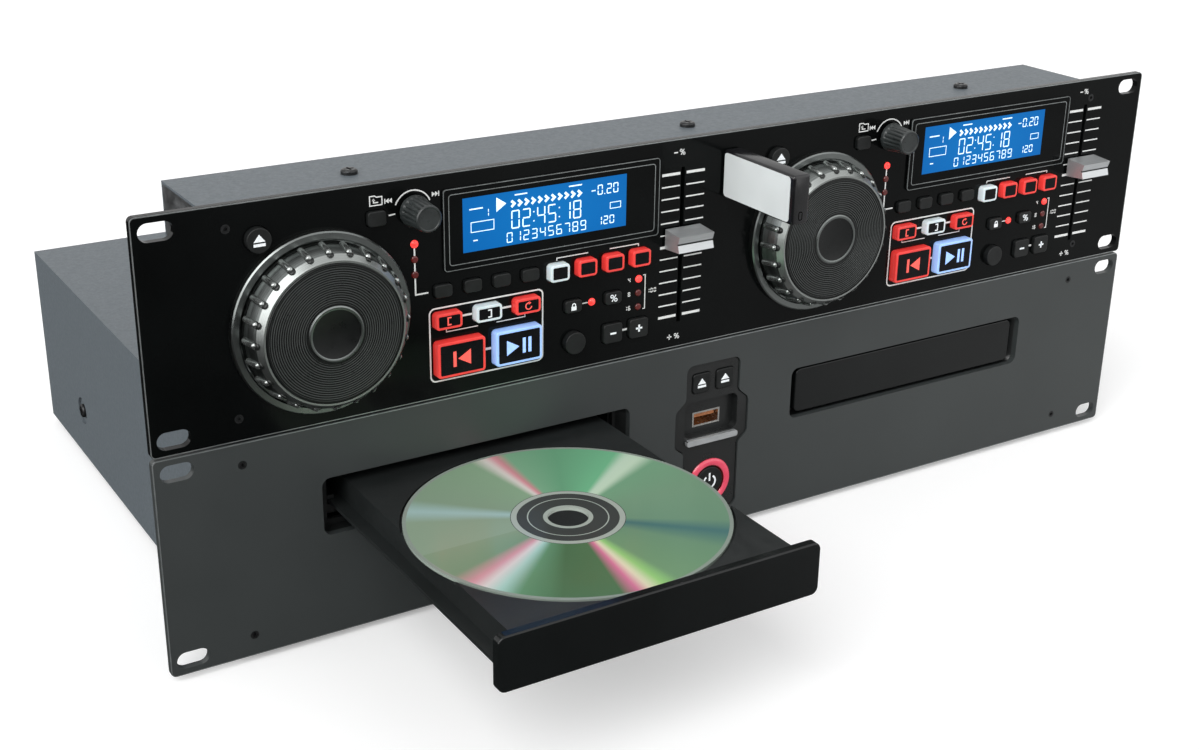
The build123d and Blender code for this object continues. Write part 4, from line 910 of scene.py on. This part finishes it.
def capsule(start, end, radius, squash_by, segments=10, rings=4):
    """A round-ended bar in the x, y plane between two points."""
    mesh = bmesh.new()
    start, end = Vector((*start, 0)), Vector((*end, 0))
    along = (end - start).normalized()
    across = Vector((along.y, -along.x, 0))
    side = Vector((0, 0, 1))
    angles = [math.pi / 2 * i / rings for i in range(rings)]
    turns = [2 * math.pi * k / segments for k in range(segments)]
    loops = []
    for tip, sign, bends in ((start, -1, angles[::-1]), (end, 1, angles)):
        for a in bends:
            centre = tip + along * (sign * radius * math.sin(a))
            width = radius * math.cos(a)
            points = [centre + across * (width * squash_by * math.cos(t)) + side * (width * math.sin(t))
                      for t in turns]
            loops.append([mesh.verts.new(point * MM) for point in points])
    loft(mesh, loops, capped=False)
    first = mesh.verts.new((start - along * radius) * MM)
    last = mesh.verts.new((end + along * radius) * MM)
    for k in range(segments):
        m = (k + 1) % segments
        mesh.faces.new((first, loops[0][m], loops[0][k]))
        mesh.faces.new((last, loops[-1][k], loops[-1][m]))
    return mesh


def wheel_ribs(side, ring_tree):
    """Raised glossy ribs on the wheel's slope, each ending in a dark capsule that paints the shade of a
    shallow scoop.
    """
    x, z = place(side, 0, JOG_RISE)
    base, shoulder = WHEEL_BASE, WHEEL_SHOULDER
    slope = (base[0] - shoulder[0]) / (base[1] - shoulder[1])

    def on_slope(depth, lift):
        return (shoulder[0] + slope * (depth - shoulder[1]) + lift, depth)

    rib = capsule(on_slope(-4.3, 0.15), on_slope(-10.4, 0.15), RIB_RADIUS, 1.0)
    # Painted shade: a squashed dark capsule at each rib's inner end stands in for the shade in a shallow
    # scoop.
    scoop_shade = capsule(on_slope(-10.4, -0.15), on_slope(-11.7, -0.15), RIB_RADIUS * 1.1, 0.4)
    for name, mesh, finish, slot in (
        ("jog_ribs_", rib, "rib_gloss", "wheel_metallic"),
        ("jog_scoop_shades_", scoop_shade, "plate_black", "wheel_plate"),
    ):
        repeated(ring_tree, mesh, RIB_COUNT, (0, 2 * math.pi / RIB_COUNT, 0), (x, FACE, z),
                 name + side, finishes[finish], "jog_" + side, smooth=60)


def grooved_plate_profile():
    """A plate with fine rings cut into its face, and a dished cap."""
    face = FACE + PLATE_FACE
    profile = [(0, FACE + PLATE_BACK), (PLATE_RADIUS, FACE + PLATE_BACK), (PLATE_RADIUS, face + 0.2),
               (PLATE_RADIUS - 0.2, face)]
    for i in range(GROOVE_COUNT)[::-1]:
        middle = GROOVE_START + GROOVE_PITCH * i
        profile += [
            (middle + 0.28, face), (middle + 0.10, face + GROOVE_DEPTH),
            (middle - 0.10, face + GROOVE_DEPTH), (middle - 0.28, face),
        ]
    profile += [(CAP_RING[1], face), (CAP_RING[0], face), (CAP_RING[0] - 0.3, face + 0.12)]
    profile.append((0, face + 0.12))
    return profile


def jog_wheel(side, ring_tree):
    """A wheel with its plate, as pieces that turn with it."""
    x, z = place(side, 0, JOG_RISE)
    body = "jog_" + side
    slope_metal = turned_metal("wheel metallic " + side, (0.19, 0.205, 0.2), 0.26, 0.38, x, z)
    lip_metal = turned_metal("wheel lip " + side, (0.34, 0.36, 0.35), 0.34, 0.44, x, z)
    wheel = lathe("jog_wheel_turned_" + side, wheel_profile(), x, z, slope_metal, body,
                  "wheel_metallic", segments=144)
    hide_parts("jog_wheel_" + side)
    lip, shoulder = WHEEL_LIP, WHEEL_SHOULDER
    band = [
        (WHEEL_RECESS, FACE + lip[1]), (lip[0], FACE + lip[1] - 0.02),
        (shoulder[0] + 0.02, FACE + shoulder[1] - 0.1), (shoulder[0] - 0.3, FACE + shoulder[1] + 0.3),
        (WHEEL_RECESS, FACE + lip[1] + 1.0),
    ]
    lathe("jog_lip_" + side, band, x, z, lip_metal, body, "wheel_metallic", segments=144)
    wheel_ribs(side, ring_tree)
    plate = lathe("jog_plate_turned_" + side, grooved_plate_profile(), x, z,
                  grooved_black(side), body, "wheel_plate", segments=128)
    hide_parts("jog_plate_" + side)
    face = FACE + PLATE_FACE
    ring = [
        (CAP_RING[0], face + 0.2), (CAP_RING[0], face - 0.25), (CAP_RING[0] + 0.3, face - 0.4),
        (CAP_RING[1] - 0.5, face - 0.4), (CAP_RING[1], face - 0.05), (CAP_RING[1], face + 0.2),
    ]
    lathe("jog_cap_ring_" + side, ring, x, z, slope_metal, body)


# ---- track knobs ----
def fluted(x, z, radius, flute):
    """A round outline with narrow flutes cut into it."""
    points = []
    steps = KNOB_FLUTES * 6
    for i in range(steps):
        a = 2 * math.pi * i / steps
        wave = 0.5 - 0.5 * math.cos(a * KNOB_FLUTES)
        r = radius - flute * wave ** 3
        points.append((x + r * math.cos(a), z + r * math.sin(a)))
    return points


def track_knob(side):
    """A tapered knob with fluted sides and a dished front."""
    x, z = place(side, *KNOB_SPOT)
    base, tip, front = KNOB_BASE_RADIUS, KNOB_TIP_RADIUS, FACE + KNOB_FRONT
    sections = [
        (FACE - 1.2, base - 0.3, 0), (FACE - 1.5, base, 0), (FACE - 2.6, base, 0),
        (FACE - 3.1, base - 0.25, 0), (FACE - 3.6, base - 0.35, 0.5), (front + 1.6, tip + 0.05, 0.5),
        (front + 0.9, tip, 0.05), (front + 0.3, tip - 0.1, 0), (front, tip - 0.4, 0),
        (front, tip - 0.8, 0), (front + 0.25, tip - 1.1, 0),
    ]
    outlines = [(y, fluted(x, z, radius, flute)) for y, radius, flute in sections]
    knob = stacked("track_knob_fluted_" + side, outlines, finishes["knob_plastic"],
                   "knob_" + side, smooth=38)
    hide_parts("track_knob_" + side)


# ---- printing on the control panel ----
def folder_sign(x, z):
    """An outlined folder with a bent arrow in it."""
    outline = [
        (x - 2.4, z - 1.7), (x + 2.4, z - 1.7), (x + 2.4, z + 1.3), (x + 0.2, z + 1.3),
        (x - 0.4, z + 1.8), (x - 2.4, z + 1.8),
    ]
    bend = stroke([(x - 0.9, z + 0.5), (x - 0.9, z - 0.7), (x + 0.9, z - 0.7)], 0.4)
    return [stroke(outline, 0.4, closed=True), bend, triangle(x - 0.9, z + 0.5, 1.3, 0.8, "up")]


def skip_sign(x, z, pointing):
    """Two triangles and a bar: skip back or forward."""
    way = 1 if pointing == "right" else -1
    return [
        triangle(x - 0.75 * way, z, 1.3, 1.9, pointing), triangle(x + 0.55 * way, z, 1.3, 1.9, pointing),
        rectangle(x + 1.4 * way, z, 0.4, 1.9),
    ]


def percent_sign(x, z, size):
    """Two small rings and a slash."""
    ring = 0.2 * size
    return [
        stroke([(x - 0.3 * size, z - 0.45 * size), (x + 0.3 * size, z + 0.45 * size)], 0.14 * size),
        stroke(circle(x - 0.3 * size, z + 0.27 * size, ring, 12), 0.13 * size, closed=True),
        stroke(circle(x + 0.3 * size, z - 0.27 * size, ring, 12), 0.13 * size, closed=True),
    ]


def knob_marks():
    """The arc over the knob, its skip signs, the folder sign and the line to the knob."""
    x, z = KNOB_SPOT
    marks = [stroke(arc(x, z, 7.4, 22, 158, 20), 0.5)]
    marks += skip_sign(x - 9.6, z + 4.8, "left")
    marks += skip_sign(x + 9.1, z + 4.8, "right")
    marks += folder_sign(*FOLDER_SIGN_SPOT)
    marks.append(stroke([(28.0, 75.3), (30.6, 75.5)], 0.5))
    return marks


def source_marks():
    """The line that joins the source lamps and runs to the first mode key."""
    x = SOURCE_LINE_X
    routes = ([(x, 61.8), (x, 58.3)], [(x, 55.8), (x, 52.4)], [(x, 49.8), (x, 43.3), (43.0, 43.3)])
    return [stroke(route, 0.6) for route in routes]


def key_group_marks():
    """The white outline round the transport keys, and the links between lit keys."""
    outline = rounded(67.55, 21.7, 48.7, 29.4, 2.2)
    marks = [stroke(outline, 0.6, closed=True)]
    for left, right in zip(LOOP_SPOTS, LOOP_SPOTS[1:]):
        marks.append(rectangle((left[0] + right[0]) / 2, left[1], 5.0, 0.8))
    marks.append(rectangle((CUE_SPOT[0] + PLAY_SPOT[0]) / 2, CUE_SPOT[1], 3.8, 1.0))
    marks.append(stroke([(50.1, 28.2), (50.1, 26.4), (63.5, 26.4)], 0.35))
    marks.append(stroke([(71.5, 26.4), (84.0, 26.4), (84.0, 28.2)], 0.35))
    return marks


def effect_marks():
    """The bracket over the effect keys, open in its middle."""
    left, right = EFFECT_SPOTS[0][0], EFFECT_SPOTS[-1][0]
    return [
        stroke([(left, 46.8), (left, 47.8), (112.4, 47.8)], 0.4),
        stroke([(122.3, 47.8), (right, 47.8), (right, 46.8)], 0.4),
    ]


def pitch_marks():
    """Lines and plain numbers by the pitch range key and its lamps."""
    dashes = [rectangle(111.2, LOCK_SPOT[1], 2.6, 0.4), rectangle(129.85, PLUS_SPOT[1], 2.6, 0.8)]
    marks = [stroke([(138.4, 34.2), (139.4, 34.2), (139.4, 19.9), (138.4, 19.9)], 0.4)]
    for text, x, z in LAMP_NUMBERS:
        marks += number(text, x, z, 1.2, 1.9, 0.36, 0.4)
    return dashes + marks


def fader_marks():
    """The signs at the ends of the pitch scale."""
    marks = [rectangle(152.5, 82.7, 1.8, 0.5)]
    marks += [rectangle(152.0, 4.9, 2.2, 0.5), rectangle(152.0, 4.9, 0.5, 2.2)]
    return marks + percent_sign(155.6, 82.7, 2.4) + percent_sign(155.6, 4.9, 2.4)


def panel_printing(side):
    """All the printing round one deck."""
    marks = knob_marks() + source_marks() + key_group_marks() + effect_marks()
    marks += pitch_marks() + fader_marks()
    shapes = moved(marks, DECK_X[side], CONTROL_Z)
    plates("panel_printing_" + side, shapes, FACE - INK, FACE + SUNK, finishes["white_ink"])


def fader_scale(side, row_tree):
    """The ticks on both sides of the fader's slot, every sixth one thicker."""
    for name, x, width in (("left", 150.5, 8.6), ("right", 162.3, 8.8)):
        cx, cz = place(side, x, TICK_RISE)
        for kind, thick, proud, count, pitch in (
            ("ticks", 0.55, INK, TICK_COUNT, TICK_PITCH),
            ("main_ticks", 1.1, INK * 1.2, 3, 6 * TICK_PITCH),
        ):
            mesh = bmesh.new()
            add_outline(mesh, rectangle(0, 0, width, thick), -proud, SUNK)
            repeated(row_tree, mesh, count, (0, 0, pitch * MM), (cx, FACE, cz),
                     f"fader_{kind}_{name}_{side}", finishes["white_ink"])


# ---- signs on keys ----
def eject_sign(x, z, size):
    """A triangle over a bar."""
    return [
        triangle(x, z + 0.22 * size, 1.0 * size, 0.62 * size, "up"),
        rectangle(x, z - 0.34 * size, 1.0 * size, 0.24 * size),
    ]


def padlock_sign(x, z):
    """A small closed padlock."""
    shackle = [(x - 0.7, z)] + arc(x, z + 0.6, 0.7, 180, 0, 8) + [(x + 0.7, z)]
    return [rectangle(x, z - 0.75, 2.3, 1.6), stroke(shackle, 0.4)]


def on_key(sign, key, side, shapes, proud, finish="sign_white"):
    """Signs on a control key's face, which move with the key."""
    front = FACE - proud
    shapes = moved(shapes, DECK_X[side], CONTROL_Z)
    plates(f"{sign}_{side}", shapes, front - INK, front + SUNK, finishes[finish], f"{key}_{side}")


def small_key_signs(side):
    """White signs on the dark keys."""
    plus = [rectangle(*PLUS_SPOT, 3.0, 0.8), rectangle(*PLUS_SPOT, 0.8, 3.0)]
    for sign, key, shapes, proud in (
        ("eject_sign", "eject_key", eject_sign(*EJECT_SPOT, 4.4), ROUND_PROUD),
        ("lock_sign", "tempo_lock_key", padlock_sign(*LOCK_SPOT), SMALL_PROUD),
        ("percent_sign", "pitch_range_key", percent_sign(*PERCENT_SPOT, 3.0), SMALL_PROUD),
        ("minus_sign", "bend_minus_key", [rectangle(*MINUS_SPOT, 2.8, 0.8)], SMALL_PROUD),
        ("plus_sign", "bend_plus_key", plus, SMALL_PROUD),
    ):
        on_key(sign, key, side, shapes, proud)


def lit_windows(side):
    """Black windows in the lit keys."""
    groups = (
        ("effect_keys", EFFECT_SPOTS, (6.4, 4.8), LIT_PROUD),
        ("loop_keys", LOOP_SPOTS, (8.9, 4.3), LIT_PROUD),
        ("cue_key", [CUE_SPOT], (18.0, 12.0), TRANSPORT_PROUD),
        ("play_key", [PLAY_SPOT], (18.0, 12.0), TRANSPORT_PROUD),
    )
    for key, spots, size, proud in groups:
        shapes = [rounded(x, z, *size, 0.5, 3) for x, z in spots]
        on_key(key + "_window", key, side, shapes, proud, "key_face")


def bracket(x, z, open_to):
    """A square bracket that opens towards the right or the left."""
    reach = 0.7 * open_to
    low, high = z - 1.4, z + 1.4
    return stroke([(x + reach, high), (x - reach, high), (x - reach, low), (x + reach, low)], 0.5)


def lit_signs(side):
    """Lit signs on the transport and loop windows."""
    x, z = PLAY_SPOT
    play = [triangle(x - 2.9, z, 5.4, 6.2, "right")]
    play += [rectangle(x + shift, z, 1.3, 6.2) for shift in (2.0, 4.5)]
    x, z = CUE_SPOT
    back = [triangle(x + 1.0, z, 5.4, 6.2, "left"), rectangle(x - 3.1, z, 1.3, 6.2)]
    (left, z), (middle, _), (right, _) = LOOP_SPOTS
    again = stroke(arc(right, z, 1.3, 60, 350, 18), 0.45)
    head = triangle(right + 0.6, z + 1.2, 1.1, 1.3, "right")
    red = [bracket(left, z, 1), again, head]
    for sign, key, shapes, proud, finish in (
        ("play_sign", "play_key", play, TRANSPORT_PROUD, "sign_blue"),
        ("return_sign", "cue_key", back, TRANSPORT_PROUD, "sign_red"),
        ("loop_signs_red", "loop_keys", red, LIT_PROUD, "sign_red"),
        ("loop_signs_white", "loop_keys", [bracket(middle, z, -1)], LIT_PROUD, "sign_white"),
    ):
        on_key(sign, key, side, shapes, proud + 2 * INK, finish)


# ---- displays ----
def screen_segments():
    """Plain numbers and marks on the display, set out from its lower left corner."""
    left, low = SCREEN[0] - SCREEN[2] / 2, SCREEN[1] - SCREEN[3] / 2
    shapes = [triangle(16.2, 16.7, 4.2, 5.6, "right")]
    for x, z, width, height, thick in ((8.2, 9.4, 9.6, 3.8, 0.3), (66.6, 9.2, 4.8, 2.4, 0.28)):
        shapes.append(stroke(rectangle(x, z, width, height), thick, closed=True))
    for i in range(11):
        x = 21.2 + 2.9 * i
        shapes.append(stroke([(x - 0.7, 14.9), (x + 0.6, 16.1), (x - 0.7, 17.3)], 1.0))
    for text, *sizes in (
        ("1", 9.6, 12.8, 1.3, 3.0, 0.3, 0.4), ("02:45:18", 20.4, 6.3, 3.6, 7.2, 0.5, 1.15),
        ("-0.20", 55.4, 14.2, 2.3, 4.0, 0.4, 0.7), ("120", 58.4, 2.0, 2.1, 3.4, 0.38, 0.7),
        ("0123456789", 18.4, 1.1, 2.5, 4.0, 0.38, 1.1),
    ):
        shapes += number(text, *sizes)
    for x, z, width in ((5.6, 16.4, 5.6), (5.2, 4.2, 1.8), (24.6, 19.4, 5.4), (48.4, 19.4, 5.8)):
        shapes.append(rectangle(x, z, width, 0.5))
    return moved(shapes, left, low)


def display(side):
    """The lit screen, its numbers, and two fine lines of painted highlight on the window's bevelled
    edges.
    """
    dx, rise, width, height = SCREEN
    face = WINDOW_FACE
    plates("screen_" + side, [rectangle(*place(side, dx, rise), width, height)], face - 0.03,
           face + 0.05, screen_blue(side))
    shapes = moved(screen_segments(), DECK_X[side], CONTROL_Z)
    plates("screen_segments_" + side, shapes, face - 0.06, face + 0.02, finishes["segments"])
    dx, rise, width, height = WINDOW
    middle = place(side, dx, rise)
    frames = []
    # Painted highlights: two thin grey lines where the window's bevelled edges catch the light.
    for inset, thick in ((0.5, 0.22), (4.6, 0.3)):
        rim = rounded(*middle, width - inset, height - inset, 1.2, 4)
        frames.append(stroke(rim, thick, closed=True))
    plates("window_highlight_line_" + side, frames, face - 0.05, face + 0.5, finishes["bare_edge"])


# ---- lamps ----
def lit_lamps(side):
    """Glowing domes over the lamps that are on."""
    dome = [(0, FACE + 0.3), (1.55, FACE + 0.3), (1.55, FACE - 0.3), (1.3, FACE - 0.72),
            (0.8, FACE - 0.98), (0, FACE - 1.08)]
    for i, spot in enumerate(LIT_LAMPS):
        lathe(f"lit_lamp_{i}_{side}", dome, *place(side, *spot), finishes["lamp_lit"],
              slot="lamp_red", segments=24)


# ---- drive console ----
def console_signs():
    """The signs on the drive's eject keys and power key."""
    power = [stroke(arc(0, POWER_Z, 3.0, 125, 415, 26), 0.85), rectangle(0, POWER_Z + 2.3, 0.85, 3.8)]
    signs = []
    for side, x in DRIVE_EJECT_X.items():
        shapes = eject_sign(x, DRIVE_EJECT_Z, 4.2)
        signs.append(("drive_eject_sign_" + side, "drive_eject_key_" + side, shapes))
    signs.append(("power_sign", "power_key", power))
    for name, body, shapes in signs:
        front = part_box(body)[0].y / MM
        plates(name, shapes, front - INK, front + SUNK, finishes["sign_white"], body)


def power_glow():
    """The lit rounded ring round the power key."""
    angles = [math.pi * i / 8 for i in range(9)]
    ring = [(9.25 + 1.72 * math.cos(a), FACE + 0.8 - 1.25 * math.sin(a)) for a in angles]
    lathe("power_ring_glow", ring, 0, POWER_Z, finishes["ring_pink"], slot="lamp_red")


def console_trim():
    """The silver lip under the port's pocket, and the contact tongue in the port."""
    lip = rounded(0, DRIVE_Z + 42.9, 26.4, 2.7, 1.1)
    plates("console_lip", [lip], FACE - 1.0, FACE + 0.7, finishes["cap_silver"])
    tongue = rectangle(0, DRIVE_Z + 52.0, 10.8, 1.8)
    plates("port_tongue", [tongue], FACE + 6.5, FACE + 18.2, finishes["port_amber"])


def bare_edges():
    """A painted highlight: a grey metal line along both panels' bevelled edges."""
    width, height = PANEL_SIZE
    for name, base in (("control", CONTROL_Z), ("drive", DRIVE_Z)):
        outline = rounded(0, base + height / 2, width - 0.7, height - 0.7, 1.7, 4)
        plates(name + "_panel_edge_highlight", [stroke(outline, 0.5, closed=True)], FACE + 0.05, FACE + 0.6,
               finishes["bare_edge"])


# ---- faders ----
def fader_line(side):
    """The dark line along a fader cap's hollowed front."""
    line = rectangle(*place(side, FADER_X, FADER_REST), 16.5, 0.9)
    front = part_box("fader_cap_" + side)[0].y / MM
    plates("fader_line_" + side, [line], front + 0.95, front + 1.5, finishes["plate_black"],
           "fader_" + side)


# ---- memory stick ----
def side_plate(name, outline, left, right, finish, body):
    """A plate drawn as a y, z outline between two x positions."""
    mesh = bmesh.new()
    add_outline(mesh, outline, -right, -left)
    quarter = Matrix.Rotation(math.radians(90), 3, "Z")
    bmesh.ops.rotate(mesh, cent=(0, 0, 0), matrix=quarter, verts=mesh.verts)
    return piece_of(name, mesh_data(name, mesh), finish, body)


def memory_stick():
    """A black stick with white side plates, a capped end with a ring hole, and its plug."""
    body = "memory_stick"
    x, z = STICK_SPOT[0], CONTROL_Z + STICK_SPOT[1]
    width, height = STICK_SIZE
    sections = []
    for y, margin, corner in ((FACE - 1.0, 0.2, 1.2), (FACE - 45.2, 0.2, 1.2),
                              (STICK_END + 0.3, 0.5, 1.0), (STICK_END, 1.1, 0.7)):
        sections.append((y, rounded(x, z, width - 2 * margin, height - 2 * margin, corner, 4)))
    stick = stacked("memory_stick_body", sections, finishes["stick_black"], body,
                    smooth=35)
    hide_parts("memory_stick")
    shell = stroke(rectangle(x, z, 4.1, 11.6), 0.35, closed=True)
    plates("memory_stick_plug", [shell], FACE - 1.2, FACE + 11.4, finishes["port_metal"], body)
    face = rounded(FACE - 22.6, z, 42.8, 18.0, 1.6, 4)
    for name, left, right in (("left", x - 4.24, x - 3.9), ("right", x + 3.9, x + 4.24)):
        side_plate("memory_stick_face_" + name, face, left, right, finishes["stick_face"], body)
    hole = rounded(x, z - 6.4, 1.6, 3.2, 0.7, 4)
    plates("memory_stick_hole", [stroke(hole, 0.4, closed=True)], STICK_END, STICK_END + 0.4,
           finishes["bright_metal"], body)


# ---- light, floor, camera ----
def soft_sun(name, strength, source, spread):
    """A broad soft lamp far away."""
    data = bpy.data.lights.new(name, "SUN")
    data.energy = strength
    data.angle = math.radians(spread)
    lamp = bpy.data.objects.new(name, data)
    bpy.context.scene.collection.objects.link(lamp)
    lamp.rotation_euler = Vector(source).to_track_quat("Z", "Y").to_euler()


def either(tree, one, other):
    """One where either factor is one."""
    return add_node(tree, "ShaderNodeMath", {0: one, 1: other}, operation="MAXIMUM").outputs[0]


def studio_world():
    """Even light from all round, and white to the camera and in reflections."""
    world = bpy.data.worlds.new("studio")
    bpy.context.scene.world = world
    world.use_nodes = True
    tree = world.node_tree
    light = tree.nodes["Background"]
    feed(tree, light, {"Color": WHITE, "Strength": WORLD_LEVEL})
    shown = add_node(tree, "ShaderNodeBackground", {"Color": WHITE, "Strength": 1.0})
    path = add_node(tree, "ShaderNodeLightPath").outputs
    seen = either(tree, path["Is Camera Ray"], path["Is Glossy Ray"])
    seen = either(tree, seen, path["Is Transmission Ray"])
    feeds = {"Fac": seen, 1: light.outputs[0], 2: shown.outputs[0]}
    mix = add_node(tree, "ShaderNodeMixShader", feeds)
    feed(tree, tree.nodes["World Output"], {"Surface": mix.outputs[0]})


def floor_paper():
    """White paper that keeps a soft shadow, and that looks darker to the left in reflections."""
    material = bpy.data.materials.new("floor paper")
    material.use_nodes = True
    tree = material.node_tree
    tree.nodes.remove(tree.nodes["Principled BSDF"])
    paper = add_node(tree, "ShaderNodeBsdfDiffuse", {"Color": FLOOR_COLOR}).outputs[0]
    lift = add_node(tree, "ShaderNodeEmission", {"Strength": FLOOR_LIFT}).outputs[0]
    lifted = add_node(tree, "ShaderNodeAddShader", {0: paper, 1: lift}).outputs[0]
    path = add_node(tree, "ShaderNodeLightPath").outputs
    seen = either(tree, path["Is Camera Ray"], path["Is Transmission Ray"])
    shown = add_node(tree, "ShaderNodeMixShader", {"Fac": seen, 1: paper, 2: lifted}).outputs[0]
    spot = add_node(tree, "ShaderNodeTexCoord").outputs["Object"]
    across = add_node(tree, "ShaderNodeSeparateXYZ", {0: spot}).outputs["X"]
    fade = add_node(tree, "ShaderNodeMapRange", {"Value": across, **MIRROR_FADE},
                    interpolation_type="SMOOTHSTEP")
    mirror = add_node(tree, "ShaderNodeEmission", {"Strength": fade.outputs["Result"]}).outputs[0]
    final = add_node(tree, "ShaderNodeMixShader", {"Fac": path["Is Glossy Ray"], 1: shown, 2: mirror})
    feed(tree, tree.nodes["Material Output"], {"Surface": final.outputs[0]})
    return material


def studio_floor():
    """A wide flat floor under the feet."""
    half = FLOOR_SIZE / 2
    data = bpy.data.meshes.new("floor")
    corners = [(-half, -half, 0), (half, -half, 0), (half, half, 0), (-half, half, 0)]
    data.from_pydata(corners, [], [(0, 1, 2, 3)])
    data.materials.append(floor_paper())
    floor = bpy.data.objects.new("floor", data)
    bpy.context.scene.collection.objects.link(floor)


def camera():
    """The photograph's viewpoint."""
    turn, drop, roll = (math.radians(v) for v in (TURN, DROP, ROLL))
    ahead = Vector((math.sin(turn) * math.cos(drop), math.cos(turn) * math.cos(drop), -math.sin(drop)))
    level = Vector((math.cos(turn), -math.sin(turn), 0))
    upright = level.cross(ahead)
    right = level * math.cos(roll) + upright * math.sin(roll)
    up = upright * math.cos(roll) - level * math.sin(roll)
    data = bpy.data.cameras.new("camera")
    data.sensor_fit = "HORIZONTAL"
    data.sensor_width = SENSOR
    data.lens = LENS
    data.clip_start = 0.01
    data.clip_end = 50
    eye = bpy.data.objects.new("camera", data)
    bpy.context.scene.collection.objects.link(eye)
    axes = Matrix((right, up, -ahead)).transposed().to_4x4()
    eye.matrix_world = Matrix.Translation(Vector(EYE) * MM) @ axes
    bpy.context.scene.camera = eye


# ---- the scene ----
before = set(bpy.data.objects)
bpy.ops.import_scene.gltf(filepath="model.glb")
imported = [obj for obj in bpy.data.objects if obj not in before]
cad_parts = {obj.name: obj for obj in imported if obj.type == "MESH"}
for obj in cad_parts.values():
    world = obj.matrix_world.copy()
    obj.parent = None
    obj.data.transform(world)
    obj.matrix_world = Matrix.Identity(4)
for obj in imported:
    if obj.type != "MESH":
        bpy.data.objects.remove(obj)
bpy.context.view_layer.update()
bpy.context.scene.view_settings.view_transform = "Standard"
finishes = make_finishes()
camera()
studio_world()
studio_floor()
soft_sun("key", KEY_LEVEL, KEY_FROM, KEY_SPREAD)
soft_sun("fill", FILL_LEVEL, FILL_FROM, FILL_SPREAD)
soft_sun("side", SIDE_LEVEL, SIDE_FROM, SIDE_SPREAD)
dress_nodes()
rings = repeat_tree("turned copies", turning=True)
rows = repeat_tree("row of copies", turning=False)
for side in SIDES:
    dress_lit_keys(side)
    jog_wheel(side, rings)
    track_knob(side)
    panel_printing(side)
    fader_scale(side, rows)
    small_key_signs(side)
    lit_windows(side)
    lit_signs(side)
    display(side)
    lit_lamps(side)
    fader_line(side)
console_signs()
console_trim()
bare_edges()
power_glow()
memory_stick()
